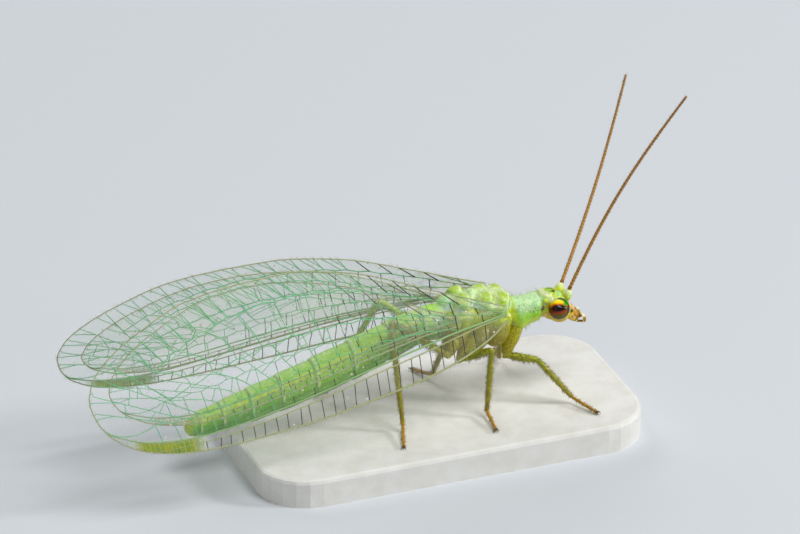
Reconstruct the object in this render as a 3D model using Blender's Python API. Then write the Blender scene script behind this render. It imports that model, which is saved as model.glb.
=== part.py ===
"""Green lacewing at rest, life size, with its roof-like wings folded over the body.

Metres, +Z up. The head looks along +X, the insect's left is +Y, and the origin is the
middle of the underside of the whole model. Places in the comments and constants are in the
insect's own frame: X = 0 lies between the middle feet and Z = 0 is the level they stand on.
"""
import itertools
import math

import bmesh
import bpy
from mathutils import Matrix, Vector

MM = 0.001
GAP = 0.08 * MM
WELD = 0.0015 * MM
WELD_TRIES = (WELD, WELD / 10, WELD * 3)

# The stand and where the insect stands on it
BASE_LENGTH = 12.4 * MM
BASE_WIDTH = 6.5 * MM
BASE_THICKNESS = 0.9 * MM
BASE_CORNER = 1.6 * MM
BASE_EDGE = 0.12 * MM
BASE_MIDDLE_X = -1.6 * MM
INSECT_ORIGIN = Vector((3.33 * MM, 0.0, BASE_THICKNESS + GAP))

# Where the trunk is parted
NECK_X = 2.05 * MM
PRONOTUM_REAR_X = 0.98 * MM
WAIST_X = -0.38 * MM
ABDOMEN_X = -1.28 * MM

# Abdomen: height of its axis and its radius, in mm against X in mm
ABDOMEN_HEIGHT = ((-9.5, 0.52), (-7.7, 1.00), (-5.8, 1.48), (-4.15, 1.98), (-2.1, 2.68),
                  (-1.3, 2.86))
ABDOMEN_RADIUS = ((-9.5, 0.36), (-7.7, 0.49), (-5.8, 0.57), (-4.15, 0.60), (-2.1, 0.54),
                  (-1.3, 0.50))
ABDOMEN_TIP_X = -9.46
ABDOMEN_TIP_LENGTH = 0.26
SEGMENT_COUNT = 9
SEGMENT_GROOVE = 0.92

# Legs, in solids stouter than life: coxa root, coxa end, knee, end of tibia, tip of foot, in mm
LEGS = {
    "front_right": ((1.30, -0.30, 2.20), (0.72, -0.52, 1.48), (1.57, -1.00, 1.39),
                    (2.52, -1.46, 0.20), (2.96, -2.40, 0.08)),
    "front_left": ((1.30, 0.30, 2.20), (0.72, 0.52, 1.48), (1.25, 1.25, 1.28),
                   (1.42, 1.75, 0.20), (1.60, 2.60, 0.08)),
    "middle_right": ((0.00, -0.30, 2.10), (-0.70, -0.74, 1.60), (0.02, -1.12, 2.04),
                     (-0.23, -1.36, 0.20), (-0.31, -2.32, 0.08)),
    "middle_left": ((0.00, 0.30, 2.10), (-0.70, 0.74, 1.60), (-0.30, 1.24, 1.98),
                    (-0.93, 1.42, 0.20), (-1.25, 2.32, 0.08)),
    "hind_right": ((-0.85, -0.30, 2.30), (-1.36, -0.96, 1.94), (-3.03, -0.52, 3.35),
                   (-2.94, -1.36, 0.20), (-3.29, -2.34, 0.08)),
    "hind_left": ((-0.85, 0.30, 2.30), (-1.36, 0.96, 1.94), (-2.78, 0.54, 3.28),
                  (-4.40, 1.50, 0.20), (-5.10, 2.28, 0.08)),
}
LEG_NEIGHBOURS = {
    "front": ("prothorax", "mesothorax"),
    "middle": ("mesothorax", "metathorax"),
    "hind": ("metathorax", "abdomen"),
}
FEMUR_RADIUS = 0.25 * MM
TIBIA_RADIUS = 0.24 * MM
TARSUS_RADIUS = 0.20 * MM
CLAW_RADIUS = 0.13 * MM
COXA_SWELL = 1.15
JOINT_SWELL = 1.06

# Antennae: base in the head, then the reach from base to tip, with a slight outward bow
ANTENNAE = {
    "antenna_right": (Vector((2.74, -0.33, 3.00)) * MM, Vector((3.44, -0.78, 6.34)) * MM),
    "antenna_left": (Vector((2.62, 0.33, 3.02)) * MM, Vector((3.35, 2.80, 5.22)) * MM),
}
ANTENNA_RADIUS = 0.25 * MM
ANTENNA_TIP_RADIUS = 0.10 * MM
ANTENNA_BOW = 0.16 * MM
ANTENNA_STATIONS = 12

# Wings: one pair lies on the other, all on the same roof
WING_THICKNESS = 0.5 * MM
WING_ROOT = Vector((0.58, 0.90, 3.13)) * MM
WING_APEX = Vector((-12.95, 1.44, 3.21)) * MM
ROOF_SLOPE = math.radians(66)
WING_BOW = 0.22 * MM
WING_CAMBER = 0.12 * MM
WING_TWIST = 0.15 * MM
TWIST_REACH = 2.3 * MM
CAMBER_REACH = 2.4 * MM
# Where the hindwing begins and ends, as shares of the forewing's length
HINDWING_START = 0.112
HINDWING_END = 0.945

# Half widths in mm on the costal and the hind side of a wing's axis, against its length's share
FORE_WIDTHS = (
    ((0.0, 0.22), (0.05, 0.66), (0.13, 1.12), (0.22, 1.46), (0.35, 1.78), (0.5, 2.08),
     (0.75, 2.30), (0.885, 2.02), (0.96, 1.42), (0.99, 0.80), (1.0, 0.10)),
    ((0.0, 0.22), (0.05, 0.72), (0.14, 1.30), (0.34, 2.16), (0.52, 2.45), (0.75, 2.18),
     (0.885, 1.42), (0.96, 0.78), (0.99, 0.38), (1.0, 0.10)),
)
HIND_WIDTHS = (
    ((0.0, 0.16), (0.10, 0.22), (0.17, 0.34), (0.32, 0.66), (0.5, 1.08), (0.65, 1.38),
     (0.77, 1.48), (0.885, 1.28), (0.96, 0.86), (0.99, 0.46), (1.0, 0.10)),
    ((0.0, 0.16), (0.10, 0.52), (0.30, 1.34), (0.52, 1.74), (0.72, 1.62), (0.885, 1.05),
     (0.96, 0.60), (0.99, 0.30), (1.0, 0.10)),
)

# How far, in mm, the middle of each slab stands outside the true membrane, along the forewing
FORE_LIFT = ((0.0, 0.10), (0.06, 0.38), (0.12, 0.62), (0.26, 0.67), (0.36, 0.37), (0.46, 0.13),
             (0.60, 0.00), (1.0, -0.04))
FORE_VEIN_HEIGHT = 0.08 * MM
HIND_VEIN_HEIGHT = 0.05 * MM
VEIN_HALF_WIDTH = 0.11 * MM
PAIR_GAP = 0.11 * MM
PAIR_STEP = WING_THICKNESS + HIND_VEIN_HEIGHT + PAIR_GAP
# A slab thins towards its edges from this share of its half width, to this share of itself
EDGE_THINS_FROM = 0.70
EDGE_THICKNESS_SHARE = 0.66
# Ridges rise from nothing over the first, and sink over the last, share of the length
RIDGE_RISE = 0.06
RIDGE_FALL = 0.10

# Main veins: share of the wing's width, counted from the costal edge, against length
FORE_VEINS = (
    ((0.0, 0.34), (0.06, 0.355), (0.12, 0.345), (0.2, 0.31), (0.3, 0.255), (0.4, 0.205),
     (0.5, 0.165), (0.6, 0.135), (0.7, 0.112), (0.8, 0.098), (0.88, 0.095), (1.0, 0.20)),
    ((0.0, 0.46), (0.06, 0.445), (0.15, 0.425), (0.3, 0.42), (0.4, 0.385), (0.5, 0.35),
     (0.6, 0.315), (0.7, 0.28), (0.8, 0.25), (0.88, 0.24), (0.93, 0.26), (1.0, 0.40)),
    ((0.0, 0.56), (0.07, 0.54), (0.13, 0.575), (0.2, 0.61), (0.4, 0.605), (0.6, 0.56),
     (0.68, 0.515), (0.75, 0.47), (0.82, 0.42), (0.9, 0.42), (1.0, 0.56)),
    ((0.0, 0.68), (0.07, 0.66), (0.13, 0.73), (0.2, 0.79), (0.3, 0.825), (0.5, 0.845),
     (0.68, 0.80), (0.76, 0.75), (0.83, 0.68), (0.9, 0.62), (1.0, 0.74)),
)
HIND_VEINS = (
    ((0.0, 0.30), (0.1, 0.24), (0.2, 0.16), (0.4, 0.115), (0.6, 0.10), (0.8, 0.095),
     (0.9, 0.10), (1.0, 0.22)),
    ((0.0, 0.50), (0.12, 0.38), (0.3, 0.35), (0.5, 0.33), (0.65, 0.30), (0.8, 0.27),
     (0.9, 0.29), (1.0, 0.44)),
    ((0.0, 0.72), (0.1, 0.72), (0.2, 0.79), (0.35, 0.84), (0.5, 0.84), (0.62, 0.81),
     (0.72, 0.74), (0.82, 0.65), (0.92, 0.60), (1.0, 0.72)),
)
FORE_CROSSVEINS = (0.14, 0.25, 0.36, 0.47, 0.58, 0.69, 0.80)
HIND_CROSSVEINS = (0.24, 0.38, 0.52, 0.66, 0.80)
CROSSVEIN_HALF_LENGTH = 0.008
# Crossveins are raised between the costal edge and the second main vein only
ROWS_WITH_CROSSVEINS = 8
OUTLINE_STATIONS = (0.05, 0.87, 0.92, 0.955, 0.98, 0.994, 1.0)

PARTS = {}


def new_material(name, colour, roughness, alpha=1.0):
    mat = bpy.data.materials.new(name)
    mat.use_nodes = True
    shader = mat.node_tree.nodes["Principled BSDF"]
    shader.inputs["Base Color"].default_value = (*colour, 1.0)
    shader.inputs["Roughness"].default_value = roughness
    shader.inputs["Metallic"].default_value = 0.0
    shader.inputs["Alpha"].default_value = alpha
    mat.diffuse_color = (*colour, 1.0)
    return mat


def clear_scene():
    for obj in list(bpy.data.objects):
        bpy.data.objects.remove(obj, do_unlink=True)


def smooth_value(knots, x):
    """Read a smooth curve through (x, value) knots, with the slope of the neighbours."""
    last = len(knots) - 1
    i = 0
    while i < last - 1 and x > knots[i + 1][0]:
        i += 1
    (x0, y0), (x1, y1) = knots[i], knots[i + 1]
    before = knots[max(i - 1, 0)]
    after = knots[min(i + 2, last)]
    slope0 = (y1 - before[1]) / (x1 - before[0])
    slope1 = (after[1] - y0) / (after[0] - x0)
    h = x1 - x0
    t = (x - x0) / h
    return (y0 * (2 * t**3 - 3 * t**2 + 1) + slope0 * h * (t**3 - 2 * t**2 + t)
            + y1 * (3 * t**2 - 2 * t**3) + slope1 * h * (t**3 - t**2))


def add_object(name, bm):
    bm.normal_update()
    mesh = bpy.data.meshes.new(name)
    bm.to_mesh(mesh)
    bm.free()
    obj = bpy.data.objects.new(name, mesh)
    bpy.context.scene.collection.objects.link(obj)
    return obj


def keep_largest_surface(bm):
    """Drop every closed surface but the widest one."""
    unseen = set(bm.verts)
    islands = []
    while unseen:
        stack = [unseen.pop()]
        island = []
        while stack:
            vert = stack.pop()
            island.append(vert)
            for edge in vert.link_edges:
                other = edge.other_vert(vert)
                if other in unseen:
                    unseen.remove(other)
                    stack.append(other)
        islands.append(island)

    def spread(island):
        return sum(max(v.co[k] for v in island) - min(v.co[k] for v in island) for k in range(3))

    keep = max(islands, key=spread)
    for island in islands:
        if island is not keep:
            bmesh.ops.delete(bm, geom=island, context='VERTS')


def tidy_mesh(obj, weld=WELD):
    """Merge slivers, keep one closed surface, and say whether it is closed."""
    bm = bmesh.new()
    bm.from_mesh(obj.data)
    bmesh.ops.remove_doubles(bm, verts=bm.verts, dist=weld)
    bmesh.ops.dissolve_degenerate(bm, edges=bm.edges, dist=weld)
    bmesh.ops.triangulate(bm, faces=bm.faces)
    keep_largest_surface(bm)
    closed = all(edge.is_manifold for edge in bm.edges)
    bm.to_mesh(obj.data)
    bm.free()
    return closed


def apply_boolean(obj, others, operation):
    """Join obj with, or cut it by, a collection of closed objects, which are then removed."""
    pieces = bpy.data.collections.new("pieces")
    bpy.context.scene.collection.children.link(pieces)
    for other in others:
        bpy.context.scene.collection.objects.unlink(other)
        pieces.objects.link(other)
    start = obj.data
    for solver, weld in itertools.product(('EXACT', 'MANIFOLD'), WELD_TRIES):
        obj.data = start
        boolean = obj.modifiers.new("fuse", 'BOOLEAN')
        boolean.operation = operation
        boolean.operand_type = 'COLLECTION'
        boolean.collection = pieces
        boolean.solver = solver
        graph = bpy.context.evaluated_depsgraph_get()
        mesh = bpy.data.meshes.new_from_object(obj.evaluated_get(graph))
        obj.modifiers.remove(boolean)
        obj.data = mesh
        if tidy_mesh(obj, weld):
            break
    for other in list(pieces.objects):
        bpy.data.objects.remove(other, do_unlink=True)
    bpy.data.collections.remove(pieces)


def grown_copy(obj, gap):
    """A copy whose surface stands off by the gap, to cut a neighbour clear of obj."""
    bm = bmesh.new()
    bm.from_mesh(obj.data)
    bm.normal_update()
    moves = [(v, v.normal * v.calc_shell_factor() * gap) for v in bm.verts]
    for vert, move in moves:
        vert.co += move
    return add_object("grown", bm)


def cut_clear(obj, neighbours):
    apply_boolean(obj, [grown_copy(PARTS[name], GAP) for name in neighbours], 'DIFFERENCE')


def cut_plane(obj, point, normal, keep_inner):
    """Cut the object at a plane, keep one side of it and close the cut."""
    bm = bmesh.new()
    bm.from_mesh(obj.data)
    geom = bm.verts[:] + bm.edges[:] + bm.faces[:]
    bmesh.ops.bisect_plane(bm, geom=geom, dist=WELD, plane_co=point, plane_no=normal,
                           clear_inner=not keep_inner, clear_outer=keep_inner)
    bmesh.ops.holes_fill(bm, edges=[e for e in bm.edges if e.is_boundary])
    bmesh.ops.recalc_face_normals(bm, faces=bm.faces)
    bm.to_mesh(obj.data)
    bm.free()
    tidy_mesh(obj)


def ellipsoid(centre, half_sizes, segments=12, tilt=0.0):
    bm = bmesh.new()
    place = (Matrix.Translation(Vector(centre) * MM) @ Matrix.Rotation(math.radians(tilt), 4, 'Y')
             @ Matrix.Diagonal((*(Vector(half_sizes) * MM), 1.0)))
    bmesh.ops.create_uvsphere(bm, u_segments=segments, v_segments=segments * 5 // 8, radius=1.0,
                              matrix=place)
    return add_object("ellipsoid", bm)


def cone(start, end, radius_start, radius_end, sides=8):
    axis = end - start
    turn = axis.to_track_quat('Z', 'Y').to_matrix().to_4x4()
    bm = bmesh.new()
    bmesh.ops.create_cone(bm, cap_ends=True, segments=sides, radius1=radius_start,
                          radius2=radius_end, depth=axis.length,
                          matrix=Matrix.Translation((start + end) / 2) @ turn)
    return add_object("cone", bm)


def ball(centre, radius, segments=8):
    bm = bmesh.new()
    bmesh.ops.create_uvsphere(bm, u_segments=segments, v_segments=segments // 2 + 1,
                              radius=radius, matrix=Matrix.Translation(centre))
    return add_object("ball", bm)


def limb(name, points, radii):
    """A jointed limb: a cone for each stretch and a ball at each bend, joined to one body."""
    pieces = [cone(points[i], points[i + 1], radii[i], radii[i + 1])
              for i in range(len(points) - 1)]
    pieces += [ball(points[i], radii[i] * JOINT_SWELL) for i in range(1, len(points) - 1)]
    obj = pieces[0]
    obj.name = name
    if len(pieces) > 1:
        apply_boolean(obj, pieces[1:], 'UNION')
    return obj


def loft(name, rings, sides=16):
    """A closed body through upright oval rings of (x, z, half width, half height) in mm."""
    bm = bmesh.new()
    loops = []
    for x, z, half_width, half_height in rings:
        place = (Matrix.Translation(Vector((x, 0, z)) * MM) @ Matrix.Rotation(math.pi / 2, 4, 'Y')
                 @ Matrix.Diagonal((half_height * MM, half_width * MM, 1, 1)))
        verts = bmesh.ops.create_circle(bm, segments=sides, radius=1.0, matrix=place)["verts"]
        loops.append([e for e in {e for v in verts for e in v.link_edges}])
    for front, rear in zip(loops, loops[1:]):
        bmesh.ops.bridge_loops(bm, edges=front + rear)
    for end in (loops[0], loops[-1]):
        bmesh.ops.edgeloop_fill(bm, edges=end)
    bmesh.ops.recalc_face_normals(bm, faces=bm.faces)
    bmesh.ops.triangulate(bm, faces=bm.faces)
    return add_object(name, bm)


def make_stand():
    """A plain plate with round corners, because thick wings would tip the model back."""
    bm = bmesh.new()
    size = Matrix.Diagonal((BASE_LENGTH, BASE_WIDTH, BASE_THICKNESS, 1))
    middle = Matrix.Translation((BASE_MIDDLE_X, 0, -BASE_THICKNESS / 2 - GAP))
    bmesh.ops.create_cube(bm, size=1.0, matrix=middle @ size)
    corners = [e for e in bm.edges
               if abs(e.verts[0].co.z - e.verts[1].co.z) > BASE_THICKNESS / 2]
    bmesh.ops.bevel(bm, geom=corners, offset=BASE_CORNER, offset_type='OFFSET', segments=6,
                    profile=0.5, affect='EDGES', material=-1)
    top = -GAP - BASE_EDGE / 2
    rim = [e for e in bm.edges if min(v.co.z for v in e.verts) > top]
    bmesh.ops.bevel(bm, geom=rim, offset=BASE_EDGE, offset_type='OFFSET', segments=2,
                    profile=0.5, affect='EDGES', material=-1)
    bmesh.ops.triangulate(bm, faces=bm.faces)
    return add_object("stand_base", bm)


def make_head():
    """Round crown and cheeks, a sloping face, and a short beak with two palps."""
    head = ellipsoid((2.55, 0, 2.68), (0.47, 0.52, 0.52), segments=16, tilt=20)
    head.name = "head"
    neck = [Vector((2.00, 0, 2.68)) * MM, Vector((2.40, 0, 2.68)) * MM]
    face = [Vector((2.72, 0, 2.64)) * MM, Vector((3.22, 0, 2.24)) * MM]
    beak = Vector((3.24, 0, 2.22)) * MM
    pieces = [cone(neck[0], neck[1], 0.34 * MM, 0.36 * MM, 12),
              cone(face[0], face[1], 0.40 * MM, 0.25 * MM, 10),
              ball(beak, 0.25 * MM)]
    for side in (-1, 1):
        root = Vector((3.08, 0.14 * side, 2.22)) * MM
        bend = Vector((3.40, 0.25 * side, 2.04)) * MM
        tip = Vector((3.56, 0.20 * side, 1.84)) * MM
        pieces.append(cone(root, bend, 0.14 * MM, 0.13 * MM, 6))
        pieces.append(cone(bend, tip, 0.13 * MM, 0.08 * MM, 6))
        pieces.append(ball(bend, 0.14 * MM, 6))
    apply_boolean(head, pieces, 'UNION')
    cut_plane(head, (NECK_X + GAP / 2, 0, 0), (-1, 0, 0), keep_inner=True)
    return head


def make_eye(name, side):
    eye = ellipsoid((2.49, 0.47 * side, 2.75), (0.31, 0.28, 0.32), segments=14)
    eye.name = name
    return eye


def make_prothorax():
    """The saddle between head and wings, a little waisted, with a raised rear rim."""
    rings = ((1.04, 2.58, 0.54, 0.52), (1.20, 2.57, 0.57, 0.53), (1.36, 2.59, 0.52, 0.47),
             (1.62, 2.65, 0.47, 0.43), (1.84, 2.70, 0.46, 0.43), (1.96, 2.70, 0.42, 0.41),
             (2.01, 2.70, 0.37, 0.37))
    return loft("prothorax", rings, sides=18)


def make_mesothorax():
    """The wing-bearing hump, its four domes, and the two sockets of the forewings."""
    body = ellipsoid((0.34, 0, 2.68), (0.98, 0.64, 0.86), segments=16)
    body.name = "mesothorax"
    pieces = [ellipsoid((-0.26, 0, 3.42), (0.30, 0.26, 0.24))]
    for side in (-1, 1):
        pieces.append(ellipsoid((0.62, 0.22 * side, 3.12), (0.36, 0.32, 0.36)))
        pieces.append(ellipsoid((0.12, 0.24 * side, 3.24), (0.42, 0.30, 0.36)))
        pieces.append(ellipsoid((0.46, 0.62 * side, 3.10), (0.34, 0.26, 0.26)))
    apply_boolean(body, pieces, 'UNION')
    cut_plane(body, (PRONOTUM_REAR_X - GAP / 2, 0, 0), (1, 0, 0), keep_inner=True)
    cut_plane(body, (WAIST_X + GAP / 2, 0, 0), (-1, 0, 0), keep_inner=True)
    return body


def make_metathorax():
    body = ellipsoid((-0.72, 0, 2.76), (0.86, 0.58, 0.80), segments=16)
    body.name = "metathorax"
    pieces = [ellipsoid((-1.06, 0, 3.28), (0.34, 0.30, 0.26))]
    for side in (-1, 1):
        pieces.append(ellipsoid((-0.66, 0.22 * side, 3.30), (0.40, 0.28, 0.36)))
        pieces.append(ellipsoid((-0.94, 0.52 * side, 3.16), (0.30, 0.34, 0.26)))
    apply_boolean(body, pieces, 'UNION')
    cut_plane(body, (WAIST_X - GAP / 2, 0, 0), (1, 0, 0), keep_inner=True)
    cut_plane(body, (ABDOMEN_X + GAP / 2, 0, 0), (-1, 0, 0), keep_inner=True)
    return body


def make_abdomen():
    """Nine ringed segments that sink towards the tail, then a round tip."""
    start = (ABDOMEN_X - GAP / 2) / MM
    length = (ABDOMEN_TIP_X + ABDOMEN_TIP_LENGTH - start) / SEGMENT_COUNT
    rings = []

    def ring(x, share):
        radius = smooth_value(ABDOMEN_RADIUS, x) * share
        rings.append((x, smooth_value(ABDOMEN_HEIGHT, x), radius * 0.97, radius * 1.04))

    for number in range(SEGMENT_COUNT):
        front = start + number * length
        ring(front, 0.97 if number == 0 else SEGMENT_GROOVE)
        ring(front + 0.16 * length, 0.985)
        ring(front + 0.88 * length, 1.02)
    end = start + SEGMENT_COUNT * length
    ring(end, SEGMENT_GROOVE)
    ring(end - 0.14, 0.78)
    ring(end - 0.24, 0.46)
    return loft("abdomen", rings, sides=16)


def make_leg(label):
    """Two nodes: coxa with femur, and tibia with tarsus, parted at the knee."""
    root, coxa, knee, ankle, toe = (Vector(p) * MM for p in LEGS[label])
    shin = (ankle - knee).normalized()
    thigh = (knee - coxa).normalized()
    upper_end = knee - thigh * (TIBIA_RADIUS + GAP)
    upper = limb("leg_" + label + "_upper", [root, coxa, upper_end],
                 [FEMUR_RADIUS * COXA_SWELL, FEMUR_RADIUS * 1.05, FEMUR_RADIUS * 0.96])
    cut_clear(upper, LEG_NEIGHBOURS[label.split("_")[0]])
    PARTS[upper.name] = upper
    lower = limb("leg_" + label + "_lower", [knee - shin * TIBIA_RADIUS * 0.5, ankle, toe],
                 [TIBIA_RADIUS, TARSUS_RADIUS * 1.1, CLAW_RADIUS])
    cut_clear(lower, (upper.name,) + LEG_NEIGHBOURS[label.split("_")[0]][1:])
    # The foot ends in a small flat on the standing level
    cut_plane(lower, (0, 0, 0), (0, 0, -1), keep_inner=True)
    PARTS[lower.name] = lower


def make_antenna(name):
    """A tapering feeler on a poly curve, made a mesh and cut clear of the head."""
    base, reach = ANTENNAE[name]
    bow = reach.cross(Vector((0, 1, 0))).normalized() * ANTENNA_BOW
    curve = bpy.data.curves.new(name, 'CURVE')
    curve.dimensions = '3D'
    curve.bevel_depth = ANTENNA_RADIUS
    curve.bevel_resolution = 2
    curve.use_fill_caps = True
    spline = curve.splines.new('POLY')
    spline.points.add(ANTENNA_STATIONS - 1)
    for i, point in enumerate(spline.points):
        t = i / (ANTENNA_STATIONS - 1)
        place = base + reach * t + bow * math.sin(math.pi * t)
        point.co = (*place, 1.0)
        point.radius = 1.0 - (1.0 - ANTENNA_TIP_RADIUS / ANTENNA_RADIUS) * t**2.2
    guide = bpy.data.objects.new("guide", curve)
    bpy.context.scene.collection.objects.link(guide)
    graph = bpy.context.evaluated_depsgraph_get()
    bm = bmesh.new()
    bm.from_mesh(guide.evaluated_get(graph).to_mesh())
    bpy.data.objects.remove(guide, do_unlink=True)
    bmesh.ops.remove_doubles(bm, verts=bm.verts, dist=WELD)
    bmesh.ops.recalc_face_normals(bm, faces=bm.faces)
    antenna = add_object(name, bm)
    cut_clear(antenna, ("head", "eye_left" if name.endswith("left") else "eye_right"))
    return antenna


def wing_rows(veins, share, width):
    """Rows across the wing: foot, crest and foot of each vein, with a crest on both edges."""
    crests = [0.0] + [smooth_value(vein, share) for vein in veins] + [1.0]
    rows = []
    for i, crest in enumerate(crests):
        before = crest - crests[i - 1] if i else 1.0
        after = crests[i + 1] - crest if i + 1 < len(crests) else 1.0
        foot = VEIN_HALF_WIDTH / width
        if i:
            rows.append((crest - min(foot, before / 3), False))
        rows.append((crest, True))
        if i + 1 < len(crests):
            rows.append((crest + min(foot, after / 3), False))
    return rows


def wing_stations(crossveins):
    """Stations along the wing: foot, crest and foot of each crossvein, more at the apex."""
    stations = [(share, False) for share in (0.0,) + OUTLINE_STATIONS]
    for share in crossveins:
        stations += [(share - CROSSVEIN_HALF_LENGTH, False), (share, True),
                     (share + CROSSVEIN_HALF_LENGTH, False)]
    return sorted(stations)


def make_wing(name, carrier, side, widths, veins, crossveins, reach, vein_height, sink):
    """One slab with its veins raised in its own outer surface."""
    stations = wing_stations(crossveins)
    row_count = 3 * (len(veins) + 2) - 2
    start, end = reach
    bm = bmesh.new()
    bmesh.ops.create_grid(bm, x_segments=len(stations) - 1, y_segments=row_count - 1, size=0.5)
    bmesh.ops.triangulate(bm, faces=bm.faces)
    outer = bmesh.ops.extrude_face_region(bm, geom=bm.faces[:], use_keep_orig=True)["geom"]
    outer = {v for v in outer if isinstance(v, bmesh.types.BMVert)}
    for vert in bm.verts:
        share, is_cross = stations[round((vert.co.x + 0.5) * (len(stations) - 1))]
        row = round((vert.co.y + 0.5) * (row_count - 1))
        costal = smooth_value(widths[0], share) * MM
        width = costal + smooth_value(widths[1], share) * MM
        across, is_crest = wing_rows(veins, share, width)[row]
        along = start + (end - start) * share
        near_edge = max(0, abs(2 * across - 1) - EDGE_THINS_FROM) / (1 - EDGE_THINS_FROM)
        half = WING_THICKNESS / 2 * (1 - (1 - EDGE_THICKNESS_SHARE) * near_edge)
        lift = smooth_value(FORE_LIFT, along) * MM - sink
        if vert in outer:
            lift += half
            if is_crest or (is_cross and row < ROWS_WITH_CROSSVEINS):
                rise = min(1, share / RIDGE_RISE) * min(1, (1.002 - share) / RIDGE_FALL)
                lift += vein_height * rise
        else:
            lift -= half
        vert.co = wing_roof(along, across * width - costal, lift)
        vert.co.y *= side
    bmesh.ops.recalc_face_normals(bm, faces=bm.faces)
    bmesh.ops.triangulate(bm, faces=bm.faces)
    wing = add_object(name, bm)
    cut_clear(wing, (carrier,))
    return wing


def wing_roof(along, run, lift):
    """The roof that all four wings lie on: along the forewing's axis, and up its slope."""
    arch = math.sin(math.pi * min(max(along, 0), 1))
    bow = (WING_BOW * arch + WING_TWIST * along * run / TWIST_REACH
           + WING_CAMBER * arch * max(0, 1 - (run / CAMBER_REACH)**2))
    up = Vector((0, -math.cos(ROOF_SLOPE), math.sin(ROOF_SLOPE)))
    out = Vector((0, math.sin(ROOF_SLOPE), math.cos(ROOF_SLOPE)))
    return WING_ROOT.lerp(WING_APEX, along) + up * run + out * (bow + lift)


def main():
    clear_scene()
    flesh = new_material("green_cuticle", (0.42, 0.66, 0.08), 0.45)
    eye = new_material("dark_eye", (0.10, 0.05, 0.02), 0.15)
    horn = new_material("tan_antenna", (0.40, 0.27, 0.12), 0.6)
    shin = new_material("yellow_leg", (0.45, 0.47, 0.10), 0.5)
    film = new_material("clear_wing", (0.55, 0.75, 0.60), 0.2, alpha=0.4)
    plate = new_material("pale_plate", (0.80, 0.79, 0.76), 0.6)

    def keep(obj, material):
        PARTS[obj.name] = obj
        obj.data.materials.clear()
        obj.data.materials.append(material)

    keep(make_stand(), plate)
    for name, side in (("eye_left", 1), ("eye_right", -1)):
        keep(make_eye(name, side), eye)
    head = make_head()
    cut_clear(head, ("eye_left", "eye_right"))
    keep(head, flesh)
    keep(make_prothorax(), flesh)
    keep(make_mesothorax(), flesh)
    keep(make_metathorax(), flesh)
    keep(make_abdomen(), flesh)
    for label in LEGS:
        make_leg(label)
        for part in ("_upper", "_lower"):
            keep(PARTS["leg_" + label + part], shin)
    for name in ANTENNAE:
        keep(make_antenna(name), horn)
    for name, side in (("left", 1), ("right", -1)):
        keep(make_wing("forewing_" + name, "mesothorax", side, FORE_WIDTHS, FORE_VEINS,
                       FORE_CROSSVEINS, (0.0, 1.0), FORE_VEIN_HEIGHT, 0.0), film)
        keep(make_wing("hindwing_" + name, "metathorax", side, HIND_WIDTHS, HIND_VEINS,
                       HIND_CROSSVEINS, (HINDWING_START, HINDWING_END), HIND_VEIN_HEIGHT,
                       PAIR_STEP), film)

    lacewing = bpy.data.collections.new("green_lacewing")
    bpy.context.scene.collection.children.link(lacewing)
    for obj in PARTS.values():
        bpy.context.scene.collection.objects.unlink(obj)
        lacewing.objects.link(obj)
        obj.location = INSECT_ORIGIN
        obj.data.shade_smooth()
        obj.data.set_sharp_from_angle(angle=math.radians(40))


main()
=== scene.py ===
"""Green lacewing at rest, life size: the finished skin, eyes, feelers, legs and veined wings.

Shapes are worked out in millimetres in the insect's own frame: +X is the head, +Y its left,
Z = 0 the level it stands on and X = 0 lies between the middle feet. Each finished mesh is
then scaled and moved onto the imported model.
"""
import math
import random
from collections import namedtuple

import bmesh
import bpy
import numpy as np
from mathutils import Matrix, Vector
from mathutils.kdtree import KDTree


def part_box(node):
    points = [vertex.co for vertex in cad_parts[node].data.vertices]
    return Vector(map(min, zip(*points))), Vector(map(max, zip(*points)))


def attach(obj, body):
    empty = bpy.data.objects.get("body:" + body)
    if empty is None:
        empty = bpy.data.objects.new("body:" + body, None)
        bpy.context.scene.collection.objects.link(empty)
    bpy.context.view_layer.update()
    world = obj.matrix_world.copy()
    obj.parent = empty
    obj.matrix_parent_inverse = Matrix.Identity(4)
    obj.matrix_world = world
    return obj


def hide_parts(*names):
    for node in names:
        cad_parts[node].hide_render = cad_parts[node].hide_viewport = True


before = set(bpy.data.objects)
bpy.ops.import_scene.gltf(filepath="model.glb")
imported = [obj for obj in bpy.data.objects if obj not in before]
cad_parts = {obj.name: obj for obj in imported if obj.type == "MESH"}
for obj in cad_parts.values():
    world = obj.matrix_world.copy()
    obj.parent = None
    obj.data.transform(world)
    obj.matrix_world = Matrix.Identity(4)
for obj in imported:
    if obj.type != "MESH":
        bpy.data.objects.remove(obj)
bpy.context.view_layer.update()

MM = 0.001

# Where the insect stands on the plate
STAND_MIDDLE_X = -1.6
FOOT_GAP = 0.08
STAND_LOW, STAND_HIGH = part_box("stand_base")
ORIGIN = Vector(((STAND_LOW.x + STAND_HIGH.x) / 2 - STAND_MIDDLE_X * MM, 0.0,
                 STAND_HIGH.z + FOOT_GAP * MM))
TO_MODEL = Matrix.Translation(ORIGIN) @ Matrix.Diagonal((MM, MM, MM, 1.0))

# The camera: a long lens, as for a close-up from a distance
CAMERA_AZIMUTH = math.radians(21)
CAMERA_ELEVATION = math.radians(27)
CAMERA_DISTANCE = 180.0
CAMERA_AIM = Vector((-2.03, 1.31, 4.12))
FRAME_WIDTH_THERE = 24.24
SENSOR_WIDTH = 36.0

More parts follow.
